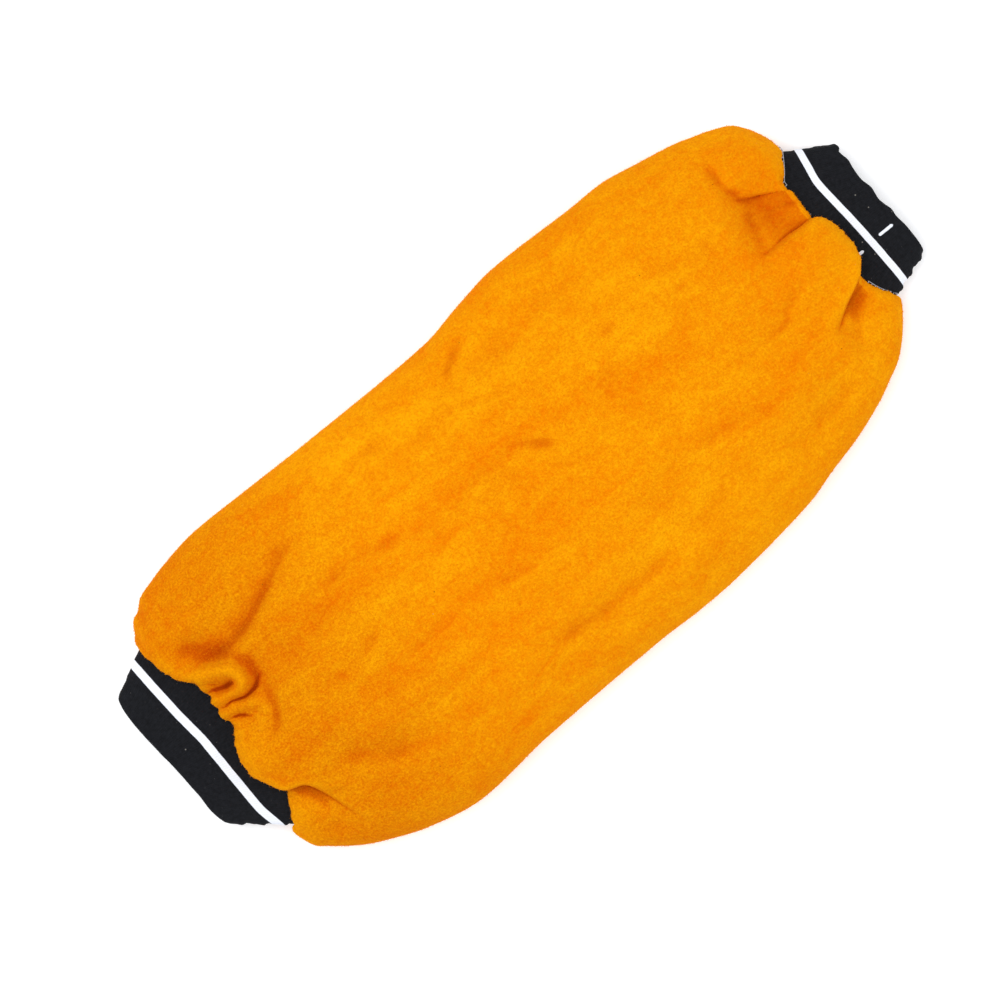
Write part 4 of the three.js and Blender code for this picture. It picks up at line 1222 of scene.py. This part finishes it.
class SLEEVE_OT_elastic_cuffs(bpy.types.Operator):
    """Build the two knitted elastic cuffs with their woven stripes"""

    bl_idname = "sleeve.elastic_cuffs"
    bl_label = "Elastic cuffs"

    def execute(self, context):
        settings = context.scene.sleeve_elastic
        material = elastic_material(settings)
        for cuff in CUFFS:
            mesh = elastic_mesh(cuff, settings.thickness / MM)
            place_piece(cuff["name"] + "_knit", mesh, cuff["name"], material)
        return {"FINISHED"}


class SLEEVE_OT_seam_stitches(bpy.types.Operator):
    """Sew the overlock stitches along the seams between suede and elastic"""

    bl_idname = "sleeve.seam_stitches"
    bl_label = "Seam stitches"

    def execute(self, context):
        settings = context.scene.sleeve_stitches
        material = thread_material(settings)
        points, sides, edges = stitch_paths()
        mesh = bpy.data.meshes.new("stitch_path")
        mesh.from_pydata(((np.array(points) + PLACE) * MM).tolist(), edges, [])
        side = mesh.attributes.new("side", "FLOAT_VECTOR", "POINT")
        side.data.foreach_set("vector", np.array(sides, np.float32).ravel())
        values = {"Pitch": settings.pitch, "Thread": settings.thread / 2, "Wrap": 1.0 * MM}
        grow_piece("seam_stitches", mesh, stitch_tree(material), material, values)
        return {"FINISHED"}


class SLEEVE_OT_stage(bpy.types.Operator):
    """Set the floor, the soft lights and the camera straight above"""

    bl_idname = "sleeve.stage"
    bl_label = "Stage"

    def execute(self, context):
        settings = context.scene.sleeve_stage
        scene = context.scene
        floor = bpy.data.meshes.new("floor")
        corners = [(x * FLOOR_HALF, y * FLOOR_HALF, FLOOR_DROP) for x, y in SQUARE]
        floor.from_pydata(corners, [], [(0, 1, 2, 3)])
        ground = bpy.data.objects.new("floor", floor)
        scene.collection.objects.link(ground)
        # Matt seamless paper: even, with no gloss to reflect the lights. It glows a little, like
        # a lit table, so shadows on it stay faint.
        material, tree = new_material("matt_background_paper")
        paper = tuple(settings.floor)
        look = {"Roughness": 0.9, "Specular IOR Level": 0.1}
        look.update({"Emission Color": paper, "Emission Strength": 0.3})
        surface(tree, paper, look)
        floor.materials.append(material)
        world = bpy.data.worlds.new("studio")
        world.use_nodes = True
        background = world.node_tree.nodes["Background"].inputs
        background["Color"].default_value = linear("#f4f7ff")
        background["Strength"].default_value = 0.6
        scene.world = world
        for name, place, size, share in SOFTBOXES:
            light = bpy.data.lights.new(name, "AREA")
            light.shape, light.size, light.energy = "SQUARE", size, settings.key_power * share
            lamp = bpy.data.objects.new(name, light)
            scene.collection.objects.link(lamp)
            lamp.location = place
            lamp.rotation_euler = (-Vector(place)).to_track_quat("-Z", "Y").to_euler()
        camera = bpy.data.cameras.new("camera")
        camera.sensor_width = SENSOR
        camera.lens = SENSOR * settings.distance / settings.field
        camera.clip_end = 20.0
        seen = bpy.data.objects.new("camera", camera)
        scene.collection.objects.link(seen)
        seen.location = (*VIEW_MIDDLE, OUTLINE_HEIGHT + settings.distance)
        seen.rotation_euler = (0.0, 0.0, VIEW_TURN)
        scene.camera = seen
        scene.view_settings.view_transform = "Standard"
        return {"FINISHED"}


class SLEEVE_PT_panel(bpy.types.Panel):
    """The sleeve's settings and the buttons that build its pieces"""

    bl_idname = "SLEEVE_PT_panel"
    bl_label = "Welding sleeve"
    bl_space_type = "VIEW_3D"
    bl_region_type = "UI"
    bl_category = "Sleeve"

    def draw(self, context):
        for settings, operators in SECTIONS_OF_PANEL:
            box = self.layout.box()
            group = getattr(context.scene, settings)
            for key in group.__annotations__:
                box.prop(group, key)
            for operator in operators:
                box.operator(operator.bl_idname)


SETTINGS = {
    "sleeve_suede": SuedeSettings,
    "sleeve_elastic": ElasticSettings,
    "sleeve_stitches": StitchSettings,
    "sleeve_stage": StageSettings,
}
SECTIONS_OF_PANEL = (
    ("sleeve_suede", (SLEEVE_OT_suede_tube, SLEEVE_OT_nap_fibres)),
    ("sleeve_elastic", (SLEEVE_OT_elastic_cuffs,)),
    ("sleeve_stitches", (SLEEVE_OT_seam_stitches,)),
    ("sleeve_stage", (SLEEVE_OT_stage,)),
)
OPERATORS = [operator for _, operators in SECTIONS_OF_PANEL for operator in operators]


def register():
    for cls in (*SETTINGS.values(), *OPERATORS, SLEEVE_PT_panel):
        bpy.utils.register_class(cls)
    for name, cls in SETTINGS.items():
        setattr(bpy.types.Scene, name, PointerProperty(type=cls))


def unregister():
    for name in SETTINGS:
        delattr(bpy.types.Scene, name)
    for cls in (SLEEVE_PT_panel, *reversed(OPERATORS), *reversed(list(SETTINGS.values()))):
        bpy.utils.unregister_class(cls)


def main():
    register()
    for operator in OPERATORS:
        name = operator.bl_idname.split(".")[1]
        if getattr(bpy.ops.sleeve, name)() != {"FINISHED"}:
            raise RuntimeError(name + " did not finish")
    bpy.context.view_layer.update()


if __name__ == "__main__":
    main()
